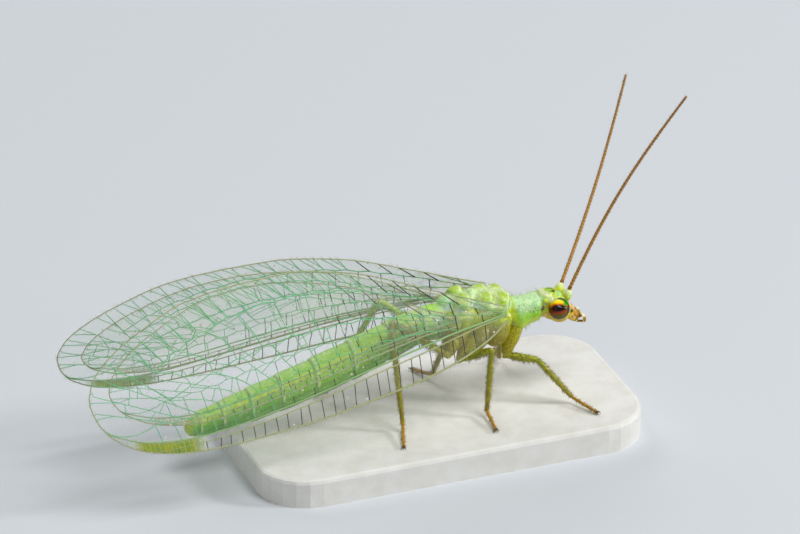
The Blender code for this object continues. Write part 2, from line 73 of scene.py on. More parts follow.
# Trunk
NECK_X = 2.05
ABDOMEN_HEIGHT = ((-9.5, 0.62), (-7.7, 1.00), (-5.8, 1.48), (-4.15, 1.98), (-2.1, 2.68), (-1.0, 2.90))
ABDOMEN_RADIUS = ((-9.5, 0.33), (-7.7, 0.49), (-5.8, 0.57), (-4.15, 0.60), (-2.1, 0.54), (-1.0, 0.48))
SEGMENT_ENDS = (-1.9, -3.0, -4.2, -5.4, -6.5, -7.45, -8.35, -9.05)
SKIN_VOXEL = 0.03
LEG_VOXEL = 0.016

# Eyes
EYE_CENTRE = Vector((2.49, 0.42, 2.70))
EYE_RADIUS = 0.335

# Legs, each with coxa top, coxa end, knee, end of the tibia and tip of the foot
LEGS = {
    "front_right": ((1.10, -0.30, 2.30), (0.68, -0.50, 1.49), (1.57, -1.00, 1.39),
                    (2.52, -1.46, 0.16), (2.96, -2.34, 0.00)),
    "front_left": ((1.10, 0.30, 2.30), (0.72, 0.52, 1.48), (1.25, 1.25, 1.28),
                   (1.42, 1.75, 0.16), (1.60, 2.54, 0.00)),
    "middle_right": ((-0.30, -0.40, 2.20), (-0.86, -0.62, 1.67), (0.02, -1.10, 2.08),
                     (-0.23, -1.34, 0.16), (-0.31, -2.26, 0.00)),
    "middle_left": ((-0.30, 0.40, 2.20), (-0.80, 0.66, 1.64), (-0.30, 1.22, 2.00),
                    (-0.93, 1.42, 0.16), (-1.25, 2.26, 0.00)),
    "hind_right": ((-0.95, -0.36, 2.35), (-1.22, -0.66, 1.90), (-3.08, -0.68, 3.40),
                   (-2.94, -1.30, 0.16), (-3.29, -2.28, 0.00)),
    "hind_left": ((-0.95, 0.36, 2.35), (-1.22, 0.66, 1.90), (-2.94, 0.69, 3.46),
                  (-4.40, 1.50, 0.16), (-5.10, 2.22, 0.00)),
}

# Feelers, each from its socket on the head and by its reach
ANTENNAE = {
    "right": (Vector((2.81, -0.18, 2.95)), Vector((3.46, -0.88, 6.53))),
    "left": (Vector((2.71, 0.17, 2.98)), Vector((3.38, 2.96, 5.42))),
}
ANTENNA_BOW = {"right": 0.28, "left": -0.13}

# The roof that all four wings lie on
WING_ROOT = Vector((0.58, 0.90, 3.13))
WING_APEX = Vector((-12.95, 1.44, 3.21))
ROOF_SLOPE = math.radians(66)
WING_BOW = 0.22
WING_CAMBER = 0.12
WING_TWIST = 0.15


def tone(red, green, blue):
    """A linear colour from the 0 to 255 numbers of a paint chart."""
    return tuple((c / 255) ** 2.2 for c in (red, green, blue)) + (1.0,)


MINT = tone(170, 222, 142)
PALE = tone(226, 240, 184)
LIME = tone(128, 192, 12)
BRIGHT_LIME = tone(160, 222, 14)
YELLOW_GREEN = tone(188, 208, 22)
DEEP_GREEN = tone(74, 136, 20)
OLIVE = tone(128, 122, 6)
OCHRE = tone(212, 172, 16)
ORANGE = tone(214, 138, 22)
DARK_BROWN = tone(58, 30, 16)
NEAR_BLACK = tone(18, 12, 12)
SEA_GREEN = tone(104, 190, 136)


def smooth_value(knots, x):
    """Read a smooth curve through (x, value) knots, with the slope of the neighbours."""
    last = len(knots) - 1
    i = 0
    while i < last - 1 and x > knots[i + 1][0]:
        i += 1
    (x0, y0), (x1, y1) = knots[i], knots[i + 1]
    before = knots[max(i - 1, 0)]
    after = knots[min(i + 2, last)]
    slope0 = (y1 - before[1]) / (x1 - before[0])
    slope1 = (after[1] - y0) / (after[0] - x0)
    h = x1 - x0
    t = (x - x0) / h
    return (y0 * (2 * t**3 - 3 * t**2 + 1) + slope0 * h * (t**3 - 2 * t**2 + t)
            + y1 * (3 * t**2 - 2 * t**3) + slope1 * h * (t**3 - t**2))


def soft_step(low, high, x):
    """0 below low, 1 above high, and a smooth rise between, for a number or an array."""
    t = np.clip((x - low) / (high - low), 0.0, 1.0)
    return t * t * (3 - 2 * t)


# Objects and finishing

def new_object(name, bm):
    mesh = bpy.data.meshes.new(name)
    bm.to_mesh(mesh)
    bm.free()
    obj = bpy.data.objects.new(name, mesh)
    bpy.context.scene.collection.objects.link(obj)
    return obj


def apply_modifiers(obj):
    graph = bpy.context.evaluated_depsgraph_get()
    mesh = bpy.data.meshes.new_from_object(obj.evaluated_get(graph))
    obj.modifiers.clear()
    obj.data = mesh


def finish_piece(obj, material, slot, *nodes):
    """Move a finished mesh onto the model, dress it, and let it ride with the model."""
    obj.data.transform(TO_MODEL)
    obj.data.materials.clear()
    obj.data.materials.append(material)
    obj.data.shade_smooth()
    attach(obj, "root")
    if nodes:
        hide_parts(*nodes)
    return obj


def fuse(obj, voxel, smoothing):
    """Melt overlapping shells into one closed skin."""
    remesh = obj.modifiers.new("melt", 'REMESH')
    remesh.mode = 'VOXEL'
    remesh.voxel_size = voxel
    relax = obj.modifiers.new("relax", 'SMOOTH')
    relax.factor = 0.5
    relax.iterations = smoothing
    apply_modifiers(obj)


def vertex_array(mesh):
    co = np.empty(len(mesh.vertices) * 3, np.float32)
    mesh.vertices.foreach_get("co", co)
    return co.reshape(-1, 3).astype(float)


def normal_array(mesh):
    no = np.empty(len(mesh.vertices) * 3, np.float32)
    mesh.vertex_normals.foreach_get("vector", no)
    return no.reshape(-1, 3).astype(float)


def move_vertices(mesh, co):
    mesh.vertices.foreach_set("co", co.astype(np.float32).ravel())
    mesh.update()


def paint(mesh, colours):
    layer = mesh.color_attributes.new("colour", 'FLOAT_COLOR', 'POINT')
    layer.data.foreach_set("color", colours.astype(np.float32).ravel())


# Wires: thin things are drawn as edges with a thickness and a tint, then made round

def new_wires():
    bm = bmesh.new()
    bm.verts.layers.float.new("thick")
    bm.verts.layers.float.new("tint")
    return bm


def add_wire(bm, points, thicks, tints):
    thick = bm.verts.layers.float["thick"]
    tint = bm.verts.layers.float["tint"]
    last = None
    for i, point in enumerate(points):
        vert = bm.verts.new(point)
        vert[thick] = thicks[i] if isinstance(thicks, (list, tuple)) else thicks
        vert[tint] = tints[i] if isinstance(tints, (list, tuple)) else tints
        if last:
            bm.edges.new((last, vert))
        last = vert


def round_wires(sides):
    """A node tree that gives every wire its round section and closed ends."""
    name = "round_wires_%d" % sides
    if name in bpy.data.node_groups:
        return bpy.data.node_groups[name]
    tree = bpy.data.node_groups.new(name, 'GeometryNodeTree')
    tree.interface.new_socket("Geometry", in_out='INPUT', socket_type='NodeSocketGeometry')
    tree.interface.new_socket("Geometry", in_out='OUTPUT', socket_type='NodeSocketGeometry')
    start = tree.nodes.new('NodeGroupInput')
    end = tree.nodes.new('NodeGroupOutput')
    curves = tree.nodes.new('GeometryNodeMeshToCurve')
    section = tree.nodes.new('GeometryNodeCurvePrimitiveCircle')
    section.inputs["Resolution"].default_value = sides
    section.inputs["Radius"].default_value = 1.0
    thick = tree.nodes.new('GeometryNodeInputNamedAttribute')
    thick.inputs["Name"].default_value = "thick"
    tubes = tree.nodes.new('GeometryNodeCurveToMesh')
    tubes.inputs["Fill Caps"].default_value = True
    tree.links.new(start.outputs[0], curves.inputs["Mesh"])
    tree.links.new(curves.outputs["Curve"], tubes.inputs["Curve"])
    tree.links.new(section.outputs["Curve"], tubes.inputs["Profile Curve"])
    tree.links.new(thick.outputs["Attribute"], tubes.inputs["Scale"])
    tree.links.new(tubes.outputs["Mesh"], end.inputs[0])
    return tree


def wire_object(name, bm, sides):
    obj = new_object(name, bm)
    modifier = obj.modifiers.new("round", 'NODES')
    modifier.node_group = round_wires(sides)
    apply_modifiers(obj)
    return obj


# Shapes for the trunk

def ellipsoid(bm, centre, half_sizes, tilt=0.0, segments=32):
    place = (Matrix.Translation(Vector(centre)) @ Matrix.Rotation(math.radians(tilt), 4, 'Y')
             @ Matrix.Diagonal((*half_sizes, 1.0)))
    bmesh.ops.create_uvsphere(bm, u_segments=segments, v_segments=segments // 2, radius=1.0,
                              matrix=place)


def pair(bm, centre, half_sizes, tilt=0.0):
    for side in (-1, 1):
        ellipsoid(bm, (centre[0], centre[1] * side, centre[2]), half_sizes, tilt)


def loft(bm, rings, sides=32):
    """A closed body through upright oval rings of (x, z, half width, half height)."""
    loops = []
    for x, z, half_width, half_height in rings:
        place = (Matrix.Translation(Vector((x, 0, z))) @ Matrix.Rotation(math.pi / 2, 4, 'Y')
                 @ Matrix.Diagonal((half_height, half_width, 1, 1)))
        verts = bmesh.ops.create_circle(bm, segments=sides, radius=1.0, matrix=place)["verts"]
        loops.append([e for e in {e for v in verts for e in v.link_edges}])
    for front, rear in zip(loops, loops[1:]):
        bmesh.ops.bridge_loops(bm, edges=front + rear)
    for end in (loops[0], loops[-1]):
        bmesh.ops.edgeloop_fill(bm, edges=end)
    bmesh.ops.recalc_face_normals(bm, faces=bm.faces)


def round_bar(bm, start, end, radius_start, radius_end, sides=20):
    start, end = Vector(start), Vector(end)
    axis = end - start
    place = Matrix.Translation((start + end) / 2) @ axis.to_track_quat('Z', 'Y').to_matrix().to_4x4()
    bmesh.ops.create_cone(bm, cap_ends=True, segments=sides, radius1=radius_start,
                          radius2=radius_end, depth=axis.length, matrix=place)


def add_head_shapes(bm):
    ellipsoid(bm, (2.48, 0, 2.66), (0.44, 0.46, 0.50), tilt=20)
    ellipsoid(bm, (2.38, 0, 2.90), (0.33, 0.41, 0.29), tilt=12)
    ellipsoid(bm, (2.20, 0, 2.91), (0.25, 0.34, 0.27), tilt=8)
    ellipsoid(bm, (2.70, 0, 2.80), (0.24, 0.34, 0.28), tilt=40)
    pair(bm, (2.56, 0.27, 2.42), (0.32, 0.22, 0.25), tilt=15)
    round_bar(bm, (2.66, 0, 2.60), (3.08, 0, 2.23), 0.31, 0.17)
    round_bar(bm, (2.98, 0, 2.37), (3.24, 0, 2.11), 0.20, 0.11)
    ellipsoid(bm, (2.98, 0, 2.46), (0.14, 0.20, 0.13), tilt=40)
    pair(bm, (3.00, 0.15, 2.20), (0.19, 0.12, 0.11), tilt=42)
    pair(bm, (2.78, 0.19, 2.95), (0.12, 0.12, 0.11))
    pair(bm, (2.53, 0.19, 3.03), (0.10, 0.10, 0.09))
    pair(bm, (2.22, 0.17, 3.04), (0.20, 0.16, 0.13), tilt=8)
    pair(bm, (2.06, 0.22, 2.98), (0.14, 0.16, 0.11), tilt=20)


def add_thorax_shapes(bm):
    round_bar(bm, (1.86, 0, 2.68), (2.30, 0, 2.68), 0.35, 0.36)
    loft(bm, ((0.96, 2.60, 0.50, 0.48), (1.10, 2.58, 0.55, 0.54), (1.24, 2.57, 0.57, 0.55),
              (1.40, 2.60, 0.52, 0.50), (1.60, 2.65, 0.48, 0.46), (1.76, 2.69, 0.47, 0.46),
              (1.88, 2.70, 0.44, 0.46), (1.94, 2.71, 0.38, 0.42)))
    ellipsoid(bm, (0.34, 0, 2.66), (0.92, 0.62, 0.86))
    ellipsoid(bm, (0.80, 0, 3.12), (0.26, 0.26, 0.36), tilt=-20)
    pair(bm, (0.60, 0.28, 3.16), (0.36, 0.32, 0.38), tilt=-12)
    pair(bm, (0.12, 0.28, 3.30), (0.38, 0.28, 0.32))
    ellipsoid(bm, (-0.26, 0, 3.44), (0.28, 0.25, 0.24))
    pair(bm, (0.48, 0.80, 3.08), (0.27, 0.14, 0.12), tilt=18)
    pair(bm, (0.64, 0.86, 3.02), (0.10, 0.08, 0.07))
    pair(bm, (0.30, 0.70, 3.16), (0.26, 0.17, 0.10))
    pair(bm, (0.46, 0.46, 2.30), (0.40, 0.22, 0.50), tilt=20)
    pair(bm, (-0.12, 0.46, 2.24), (0.34, 0.22, 0.50), tilt=24)
    ellipsoid(bm, (-0.72, 0, 2.74), (0.84, 0.58, 0.78))
    pair(bm, (-0.62, 0.28, 3.40), (0.36, 0.27, 0.30))
    ellipsoid(bm, (-1.02, 0, 3.36), (0.30, 0.24, 0.22))
    pair(bm, (-0.80, 0.66, 3.12), (0.24, 0.20, 0.12))
    pair(bm, (-0.86, 0.40, 2.30), (0.36, 0.24, 0.42), tilt=26)


def add_abdomen_shape(bm):
    """Overlapping ringed segments that sink towards the tail, then a round tip."""
    rings = []

    def ring(x, share):
        radius = smooth_value(ABDOMEN_RADIUS, x) * share
        rings.append((x, smooth_value(ABDOMEN_HEIGHT, x), radius * 0.97, radius * 1.04))

    front = -1.05
    for rear in SEGMENT_ENDS:
        length = front - rear
        ring(front - 0.02, 0.93)
        ring(front - 0.14 * length, 0.97)
        ring(front - 0.80 * length, 1.02)
        ring(rear + 0.03, 1.00)
        front = rear
    ring(-9.09, 0.90)
    ring(-9.22, 0.84)
    ring(-9.34, 0.66)
    ring(-9.42, 0.38)
    ring(-9.45, 0.14)
    loft(bm, rings, sides=40)


def distance_to_line(co, points):
    """Distance of every vertex from a polyline."""
    best = np.full(len(co), 1e9)
    for a, b in zip(points, points[1:]):
        a, b = np.array(a, float), np.array(b, float)
        ab = b - a
        t = np.clip(((co - a) @ ab) / (ab @ ab), 0, 1)
        best = np.minimum(best, np.linalg.norm(co - a - t[:, None] * ab, axis=1))
    return best


# Sutures of one side, each a line, the width of its groove and its depth
SUTURES = (
    (((0.93, 0.06, 3.40), (0.84, 0.45, 3.28), (0.78, 0.62, 3.00)), 0.05, 0.035),
    (((0.92, 0.00, 3.42), (0.72, 0.02, 3.52), (0.40, 0.03, 3.60), (0.05, 0.02, 3.66)), 0.06, 0.050),
    (((0.42, 0.04, 3.60), (0.36, 0.35, 3.52), (0.32, 0.58, 3.34)), 0.06, 0.055),
    (((-0.06, 0.00, 3.68), (-0.14, 0.25, 3.60), (-0.24, 0.50, 3.44)), 0.06, 0.050),
    (((-0.42, 0.00, 3.70), (-0.40, 0.30, 3.58), (-0.42, 0.58, 3.30), (-0.36, 0.64, 2.80),
      (-0.42, 0.58, 2.30)), 0.07, 0.065),
    (((0.36, 0.66, 2.95), (0.20, 0.66, 2.60), (0.10, 0.62, 2.20)), 0.05, 0.035),
    (((0.96, 0.42, 2.90), (0.80, 0.56, 2.70), (0.62, 0.60, 2.40), (0.50, 0.56, 2.05)), 0.05, 0.035),
    (((0.80, 0.60, 2.86), (0.40, 0.66, 2.74), (0.02, 0.64, 2.78), (-0.30, 0.62, 2.92)), 0.05, 0.030),
    (((-0.70, 0.60, 2.95), (-0.80, 0.60, 2.60), (-0.86, 0.56, 2.20)), 0.05, 0.035),
    (((-0.82, 0.04, 3.66), (-0.95, 0.30, 3.52), (-1.05, 0.46, 3.26)), 0.05, 0.040),
    (((1.95, 0.04, 3.14), (2.02, 0.30, 3.02), (2.10, 0.42, 2.70), (2.16, 0.36, 2.40)), 0.05, 0.030),
    (((2.40, 0.03, 3.20), (2.44, 0.22, 3.14), (2.34, 0.36, 3.02)), 0.035, 0.020),
    (((2.12, 0.02, 3.16), (2.30, 0.02, 3.20), (2.46, 0.02, 3.16)), 0.030, 0.016),
    (((2.86, 0.30, 2.64), (2.96, 0.20, 2.54), (3.02, 0.00, 2.58)), 0.035, 0.020),
)


def trunk_height(co):
    """How high each vertex is in its own cross-section, from -1 underneath to 1 on top."""
    xs = np.array([-9.5, -7.7, -5.8, -4.15, -2.1, -1.2, -0.6, 0.3, 1.0, 1.5, 2.0, 2.5, 3.2])
    middle = np.array([0.52, 1.00, 1.48, 1.98, 2.68, 2.80, 2.76, 2.72, 2.62, 2.62, 2.70, 2.66, 2.3])
    half = np.array([0.36, 0.50, 0.59, 0.62, 0.56, 0.66, 0.86, 0.92, 0.58, 0.50, 0.46, 0.55, 0.4])
    return (co[:, 2] - np.interp(co[:, 0], xs, middle)) / np.interp(co[:, 0], xs, half)


def segment_share(x):
    """Share of the way through its abdomen segment, 0 at the front border, 1 at the rear."""
    borders = np.array((-1.05,) + SEGMENT_ENDS + (-9.6,))
    share = np.zeros_like(x)
    for front, rear in zip(borders, borders[1:]):
        inside = (x <= front) & (x > rear)
        share[inside] = (front - x[inside]) / (front - rear)
    return share


def carve_trunk(mesh):
    """Sutures, the segments' edges and the fold along the abdomen's side."""
    co, normal = vertex_array(mesh), normal_array(mesh)
    folded = co.copy()
    folded[:, 1] = np.abs(folded[:, 1])
    depth = np.zeros(len(co))
    for line, width, deep in SUTURES:
        depth = np.maximum(depth, deep * np.exp(-(distance_to_line(folded, line) / width) ** 2))
    height = trunk_height(co)
    share = segment_share(co[:, 0])
    abdomen = soft_step(-1.15, -1.35, co[:, 0]) * soft_step(-9.45, -9.2, co[:, 0])
    side_fold = np.exp(-((height + 0.12) / 0.10) ** 2) * (0.5 + 0.5 * np.sin(np.pi * share))
    upper_fold = np.exp(-((height - 0.62) / 0.08) ** 2) * np.sin(np.pi * np.clip(share * 1.25, 0, 1))
    low_fold = np.exp(-((height + 0.50) / 0.07) ** 2) * (0.6 + 0.4 * np.cos(2 * np.pi * share))
    depth += abdomen * (0.036 * side_fold + 0.014 * upper_fold + 0.018 * low_fold)
    ripple = np.sin(co[:, 0] * 46) * np.exp(-((height + 0.12) / 0.22) ** 2)
    depth += abdomen * 0.006 * ripple
    lip = np.exp(-((share - 0.93) / 0.05) ** 2) * soft_step(-0.4, 0.2, height)
    depth -= abdomen * 0.016 * lip
    co -= normal * depth[:, None]
    move_vertices(mesh, co)


def mix(under, over, share):
    share = np.clip(share, 0, 1)[:, None]
    return under * (1 - share) + np.array(over) * share


def spot(co, centre, radius):
    """1 inside a round mark and 0 outside, with a soft edge, on both sides of the body."""
    at = np.array(centre)
    folded = co.copy()
    folded[:, 1] = np.abs(folded[:, 1])
    return 1 - soft_step(radius * 0.75, radius * 1.15, np.linalg.norm(folded - at, axis=1))


def paint_abdomen(colours, x, height, share):
    """Dark folded flanks (partly painted shade underneath), a bright back with a painted highlight along its
    top, and a row of yellow dashes with dark marks.
    """
    tail = soft_step(-4.5, -8.6, x)
    # Darker green and olive towards the underside: partly the abdomen's colour, partly painted shade.
    colours = mix(colours, DEEP_GREEN, soft_step(0.16, -0.30, height) * 0.85)
    colours = mix(colours, OLIVE, soft_step(-0.45, -0.95, height) * 0.6)
    stripe = np.exp(-((height + 0.30) / 0.09) ** 2)
    colours = mix(colours, LIME, stripe * 0.5)
    colours = mix(colours, BRIGHT_LIME, soft_step(0.18, 0.55, height))
    colours = mix(colours, tone(66, 150, 34), tail * soft_step(0.72, 0.40, height) * 0.65)
    dash = np.exp(-((height - 0.70) / 0.11) ** 2) * soft_step(0.06, 0.16, share)
    dash *= soft_step(0.94, 0.82, share)
    colours = mix(colours, tone(204, 226, 60), dash * 0.85)
    mark = np.exp(-((height - 0.58) / 0.045) ** 2)
    for centre, width in ((0.26, 0.05), (0.44, 0.07), (0.66, 0.05)):
        here = mark * np.exp(-((share - centre) / width) ** 2)
        colours = mix(colours, tone(70, 92, 6), here * 0.75)
    # Painted highlight: a pale band along the top of the back.
    colours = mix(colours, tone(176, 226, 90), soft_step(0.84, 1.0, height) * 0.6)
    rear_edge = np.exp(-((share - 0.955) / 0.030) ** 2) * soft_step(-0.3, 0.1, height)
    colours = mix(colours, PALE, rear_edge * 0.75)
    groove = np.exp(-((share - 0.02) / 0.030) ** 2) * soft_step(-0.6, 0.0, height)
    colours = mix(colours, DEEP_GREEN, groove * 0.6)
    return mix(colours, YELLOW_GREEN, soft_step(-9.15, -9.4, x) * 0.7)


def paint_thorax(colours, co, height):
    """Mint rims round yellow-green domes, olive flanks partly darkened with painted shade, a mint top that is
    partly a painted highlight, and the pronotum's mint saddle with a painted highlight on its crest.
    """
    x = co[:, 0]
    folded = co.copy()
    folded[:, 1] = np.abs(folded[:, 1])
    thorax = soft_step(-1.5, -1.2, x)
    flank = np.tile(np.array(YELLOW_GREEN), (len(co), 1))
    # Olive towards the underside: partly the flanks' colour, partly painted shade.
    flank = mix(flank, tone(148, 140, 0), soft_step(0.16, -0.30, height) * 0.95)
    flank = mix(flank, tone(138, 120, 0), soft_step(-0.30, -0.75, height) * 0.6)
    # Mint over the top: partly the thorax's colour, partly a painted highlight.
    flank = mix(flank, MINT, soft_step(0.50, 0.80, height))
    for centre, radius in (((0.56, 0.34, 3.42), 0.34), ((0.10, 0.32, 3.56), 0.26),
                           ((-0.64, 0.32, 3.62), 0.28)):
        flank = mix(flank, tone(176, 204, 44), spot(co, centre, radius) * 0.85)
    colours = colours * (1 - thorax)[:, None] + flank * thorax[:, None]
    for line, width, _ in SUTURES[:5]:
        far = distance_to_line(folded, line)
        rim = np.exp(-((far - width * 1.7) / (width * 0.8)) ** 2)
        colours = mix(colours, PALE, rim * 0.7 * thorax * soft_step(0.2, 0.5, height))
        colours = mix(colours, OLIVE, np.exp(-(far / (width * 0.5)) ** 2) * 0.5 * thorax)
    for line, width, _ in SUTURES[5:10]:
        seam = np.exp(-(distance_to_line(folded, line) / (width * 0.8)) ** 2)
        colours = mix(colours, tone(78, 84, 4), seam * 0.7 * thorax)
    colours = mix(colours, tone(186, 212, 60), spot(co, (0.48, 0.90, 3.10), 0.20) * 0.8)
    colours = mix(colours, tone(238, 234, 130), spot(co, (0.70, 0.92, 3.01), 0.09))

    saddle = soft_step(1.0, 1.15, x) * soft_step(2.06, 1.94, x)
    colours = mix(colours, LIME, saddle * 0.9)
    # The saddle's mint top and paler crest: partly its colour, partly a painted highlight.
    colours = mix(colours, MINT, saddle * soft_step(0.05, 0.65, height))
    colours = mix(colours, tone(206, 240, 184), saddle * soft_step(0.50, 0.90, height) * 0.7)
    colours = mix(colours, YELLOW_GREEN, saddle * soft_step(0.15, -0.50, height) * 0.9)
    patch = distance_to_line(folded, ((1.16, 0.40, 2.94), (1.72, 0.44, 2.84)))
    grains = np.random.default_rng(5).random(len(co)) * soft_step(0.22, 0.08, patch)
    colours = mix(colours, tone(96, 110, 72), (grains > 0.60) * 0.65)
    colours = mix(colours, tone(244, 242, 226), (grains > 0.90) * 0.8)
    colours = mix(colours, YELLOW_GREEN, np.exp(-((x - 1.03) / 0.05) ** 2) * 0.8)
    return colours


# Dark bars on one side of the face, each a line and its half width
FACE_BARS = (
    (((3.02, 0.17, 2.58), (3.09, 0.19, 2.45)), 0.028),
    (((3.08, 0.20, 2.38), (3.13, 0.18, 2.34)), 0.030),
    (((3.00, 0.25, 2.30), (3.02, 0.24, 2.20)), 0.026),
    (((3.02, 0.22, 2.08), (3.12, 0.18, 2.07)), 0.028),
    (((3.12, 0.05, 2.46), (3.22, 0.06, 2.28), (3.26, 0.10, 2.18)), 0.024),
    (((2.92, 0.10, 2.78), (2.95, 0.20, 2.70), (2.88, 0.28, 2.62)), 0.022),
)


def paint_head(colours, co, height):
    """Yellow-green crown with pale ridges, ochre cheeks, a face with dark bars, and a painted highlight on the
    dark neck dot.
    """
    x = co[:, 0]
    head = soft_step(1.92, 2.02, x)
    crown = np.tile(np.array(YELLOW_GREEN), (len(co), 1))
    crown = mix(crown, tone(176, 196, 14), soft_step(0.70, 0.20, height))
    crown = mix(crown, OCHRE, soft_step(0.05, -0.35, height) * 0.9)
    crown = mix(crown, OCHRE, soft_step(2.72, 2.96, x) * 0.95)
    crown = mix(crown, ORANGE, soft_step(2.98, 3.20, x) * 0.7)
    crown = mix(crown, tone(168, 158, 8), spot(co, (2.16, 0.36, 2.80), 0.12) * 0.8)
    for centre, radius, colour in (((2.10, 0.13, 3.14), 0.15, PALE), ((2.22, 0.25, 3.14), 0.11, PALE),
                                   ((2.00, 0.24, 3.07), 0.09, MINT), ((2.55, 0.20, 3.12), 0.12, MINT),
                                   ((2.28, 0.34, 3.00), 0.10, PALE), ((2.30, 0.10, 3.20), 0.09, LIME)):
        crown = mix(crown, colour, spot(co, centre, radius) * 0.85)
    colours = colours * (1 - head)[:, None] + crown * head[:, None]
    for centre, radius, colour in (((2.41, 0.10, 3.155), 0.066, tone(40, 12, 40)),
                                   ((2.23, 0.23, 3.15), 0.030, OLIVE),
                                   ((1.97, 0.37, 2.78), 0.092, tone(64, 20, 50)),
                                   # painted highlight: the small pink-white spot on the dark neck dot
                                   ((1.96, 0.37, 2.83), 0.036, tone(222, 186, 214)),
                                   ((3.00, 0.21, 2.42), 0.062, NEAR_BLACK),
                                   ((3.00, 0.10, 2.62), 0.060, tone(250, 214, 196)),
                                   ((3.09, 0.12, 2.51), 0.055, tone(246, 200, 180)),
                                   ((3.11, 0.20, 2.20), 0.042, tone(250, 230, 196))):
        colours = mix(colours, colour, spot(co, centre, radius))
    folded = co.copy()
    folded[:, 1] = np.abs(folded[:, 1])
    for line, width in FACE_BARS:
        bar = np.exp(-(distance_to_line(folded, line) / width) ** 2)
        colours = mix(colours, tone(74, 30, 8), bar * 1.15)
    return colours


def paint_trunk(mesh):
    co = vertex_array(mesh)
    height = trunk_height(co)
    colours = np.tile(np.array(LIME), (len(co), 1))
    colours = paint_abdomen(colours, co[:, 0], height, segment_share(co[:, 0]))
    colours = paint_thorax(colours, co, height)
    paint(mesh, paint_head(colours, co, height))


def make_trunk(material):
    bm = bmesh.new()
    add_head_shapes(bm)
    add_thorax_shapes(bm)
    add_abdomen_shape(bm)
    trunk = new_object("body_skin", bm)
    fuse(trunk, SKIN_VOXEL, 4)
    carve_trunk(trunk.data)
    paint_trunk(trunk.data)
    hairs = trunk_hairs(trunk.data)
    finish_piece(trunk, material, "cuticle", "head", "prothorax", "mesothorax", "metathorax",
                 "abdomen")
    return hairs


def hair(bm, root, direction, length, thick, droop, tint):
    """A short bristle that bends over towards droop."""
    direction = Vector(direction).normalized()
    points = []
    for share in (0.0, 0.4, 0.75, 1.0):
        points.append(Vector(root) + direction * length * share + droop * (length * share**2))
    add_wire(bm, points, [thick, thick * 0.8, thick * 0.5, thick * 0.15], tint)


def trunk_hairs(mesh):
    """Fine pale hairs, densest on the pronotum's back and sparse on the abdomen."""
    rng = random.Random(11)
    co, normal = vertex_array(mesh), normal_array(mesh)
    height = trunk_height(co)
    bm = new_wires()
    for i in rng.sample(range(len(co)), 9000):
        x, up = co[i][0], height[i]
        if x > 3.0:
            wanted, length = 0.20, 0.08
        elif x > 2.1:
            wanted, length = 0.05, 0.08
        elif x > 1.0:
            wanted, length = 0.55 if up > 0.1 else 0.2, 0.16
        elif x > -1.3:
            wanted, length = 0.25 if up > 0.3 else 0.10, 0.13
        else:
            wanted, length = 0.14, 0.12
        if rng.random() > wanted:
            continue
        lean = Vector((rng.uniform(-0.5, 0.1), rng.uniform(-0.2, 0.2), rng.uniform(-0.1, 0.2)))
        hair(bm, co[i] - normal[i] * 0.01, Vector(normal[i]) + lean, length * rng.uniform(0.6, 1.2),
             0.0045, Vector((-0.15, 0, 0.05)), rng.uniform(0.0, 0.3))
    return bm


# Eyes

def make_eye(name, side, material):
    """A faceted dome: a fine ball whose small domes sit on the points of a coarser one."""
    coarse = bmesh.new()
    bmesh.ops.create_icosphere(coarse, subdivisions=5, radius=1.0)
    points = [v.co.copy() for v in coarse.verts]
    coarse.free()
    tree = KDTree(len(points))
    for i, point in enumerate(points):
        tree.insert(point, i)
    tree.balance()
    bm = bmesh.new()
    bmesh.ops.create_icosphere(bm, subdivisions=6, radius=1.0)
    facet = 0.036
    for vert in bm.verts:
        distance = tree.find(vert.co)[2]
        flat = 0.13 * float(soft_step(0.70, 1.0, vert.co.dot(Vector((0.16, 0.42 * side, 0.89)))))
        vert.co *= EYE_RADIUS * (1 + 0.0003 * (1 - (distance / facet) ** 2) - flat)
        vert.co.x *= 0.97
        vert.co.y *= 0.92
        vert.co += Vector((EYE_CENTRE.x, EYE_CENTRE.y * side, EYE_CENTRE.z))
    eye = new_object(name, bm)
    paint_eye(eye.data, side)
    return finish_piece(eye, material, "eye", "eye_left" if side > 0 else "eye_right")


def paint_eye(mesh, side):
    """A yellow crescent with a painted highlight as a pale cream band at its top, over a nearly black oval, a
    copper glow under it, and an olive rim.
    """
    co = vertex_array(mesh)
    offset = co - np.array((EYE_CENTRE.x, EYE_CENTRE.y * side, EYE_CENTRE.z))
    offset /= np.linalg.norm(offset, axis=1)[:, None]
    face = offset @ np.array((-0.32, 0.83 * side, 0.45))
    rise = offset @ np.array((0.16, -0.42 * side, 0.89))
    forward = offset @ np.array((0.93, 0.36 * side, 0.0))
    level = rise - 0.06 - 0.10 * forward
    oval = np.hypot((forward + 0.04) / 0.80, level / 0.36)
    above = soft_step(-0.06, 0.12, level)
    below = 1 - above
    colours = np.tile(np.array(tone(26, 9, 5)), (len(co), 1))
    colours = mix(colours, tone(152, 60, 0), soft_step(0.60, 1.45, oval) * below)
    colours = mix(colours, tone(98, 90, 0), soft_step(1.35, 2.15, oval) * below)
    colours = mix(colours, tone(52, 84, 6), soft_step(0.55, 0.85, forward) * below * 0.7)
    colours = mix(colours, tone(226, 112, 0), soft_step(0.75, 1.20, oval) * above)
    colours = mix(colours, tone(255, 226, 6), soft_step(1.15, 1.60, oval) * above)
    # Painted highlight: a pale cream band over the top of the yellow crescent.
    colours = mix(colours, tone(250, 250, 190), soft_step(1.95, 2.40, oval) * above * 0.7)
    front = soft_step(0.30, 0.62, forward) * soft_step(0.16, 0.46, rise)
    colours = mix(colours, tone(10, 164, 30), front)
    rim = soft_step(0.60, 0.30, face)
    colours = mix(colours, tone(46, 54, 10), rim * soft_step(0.50, 0.10, rise))
    colours = mix(colours, tone(40, 96, 30), rim * soft_step(0.30, 0.70, rise))
    colours = mix(colours, tone(10, 14, 8), soft_step(0.74, 0.90, forward))
    paint(mesh, colours)


# Feelers

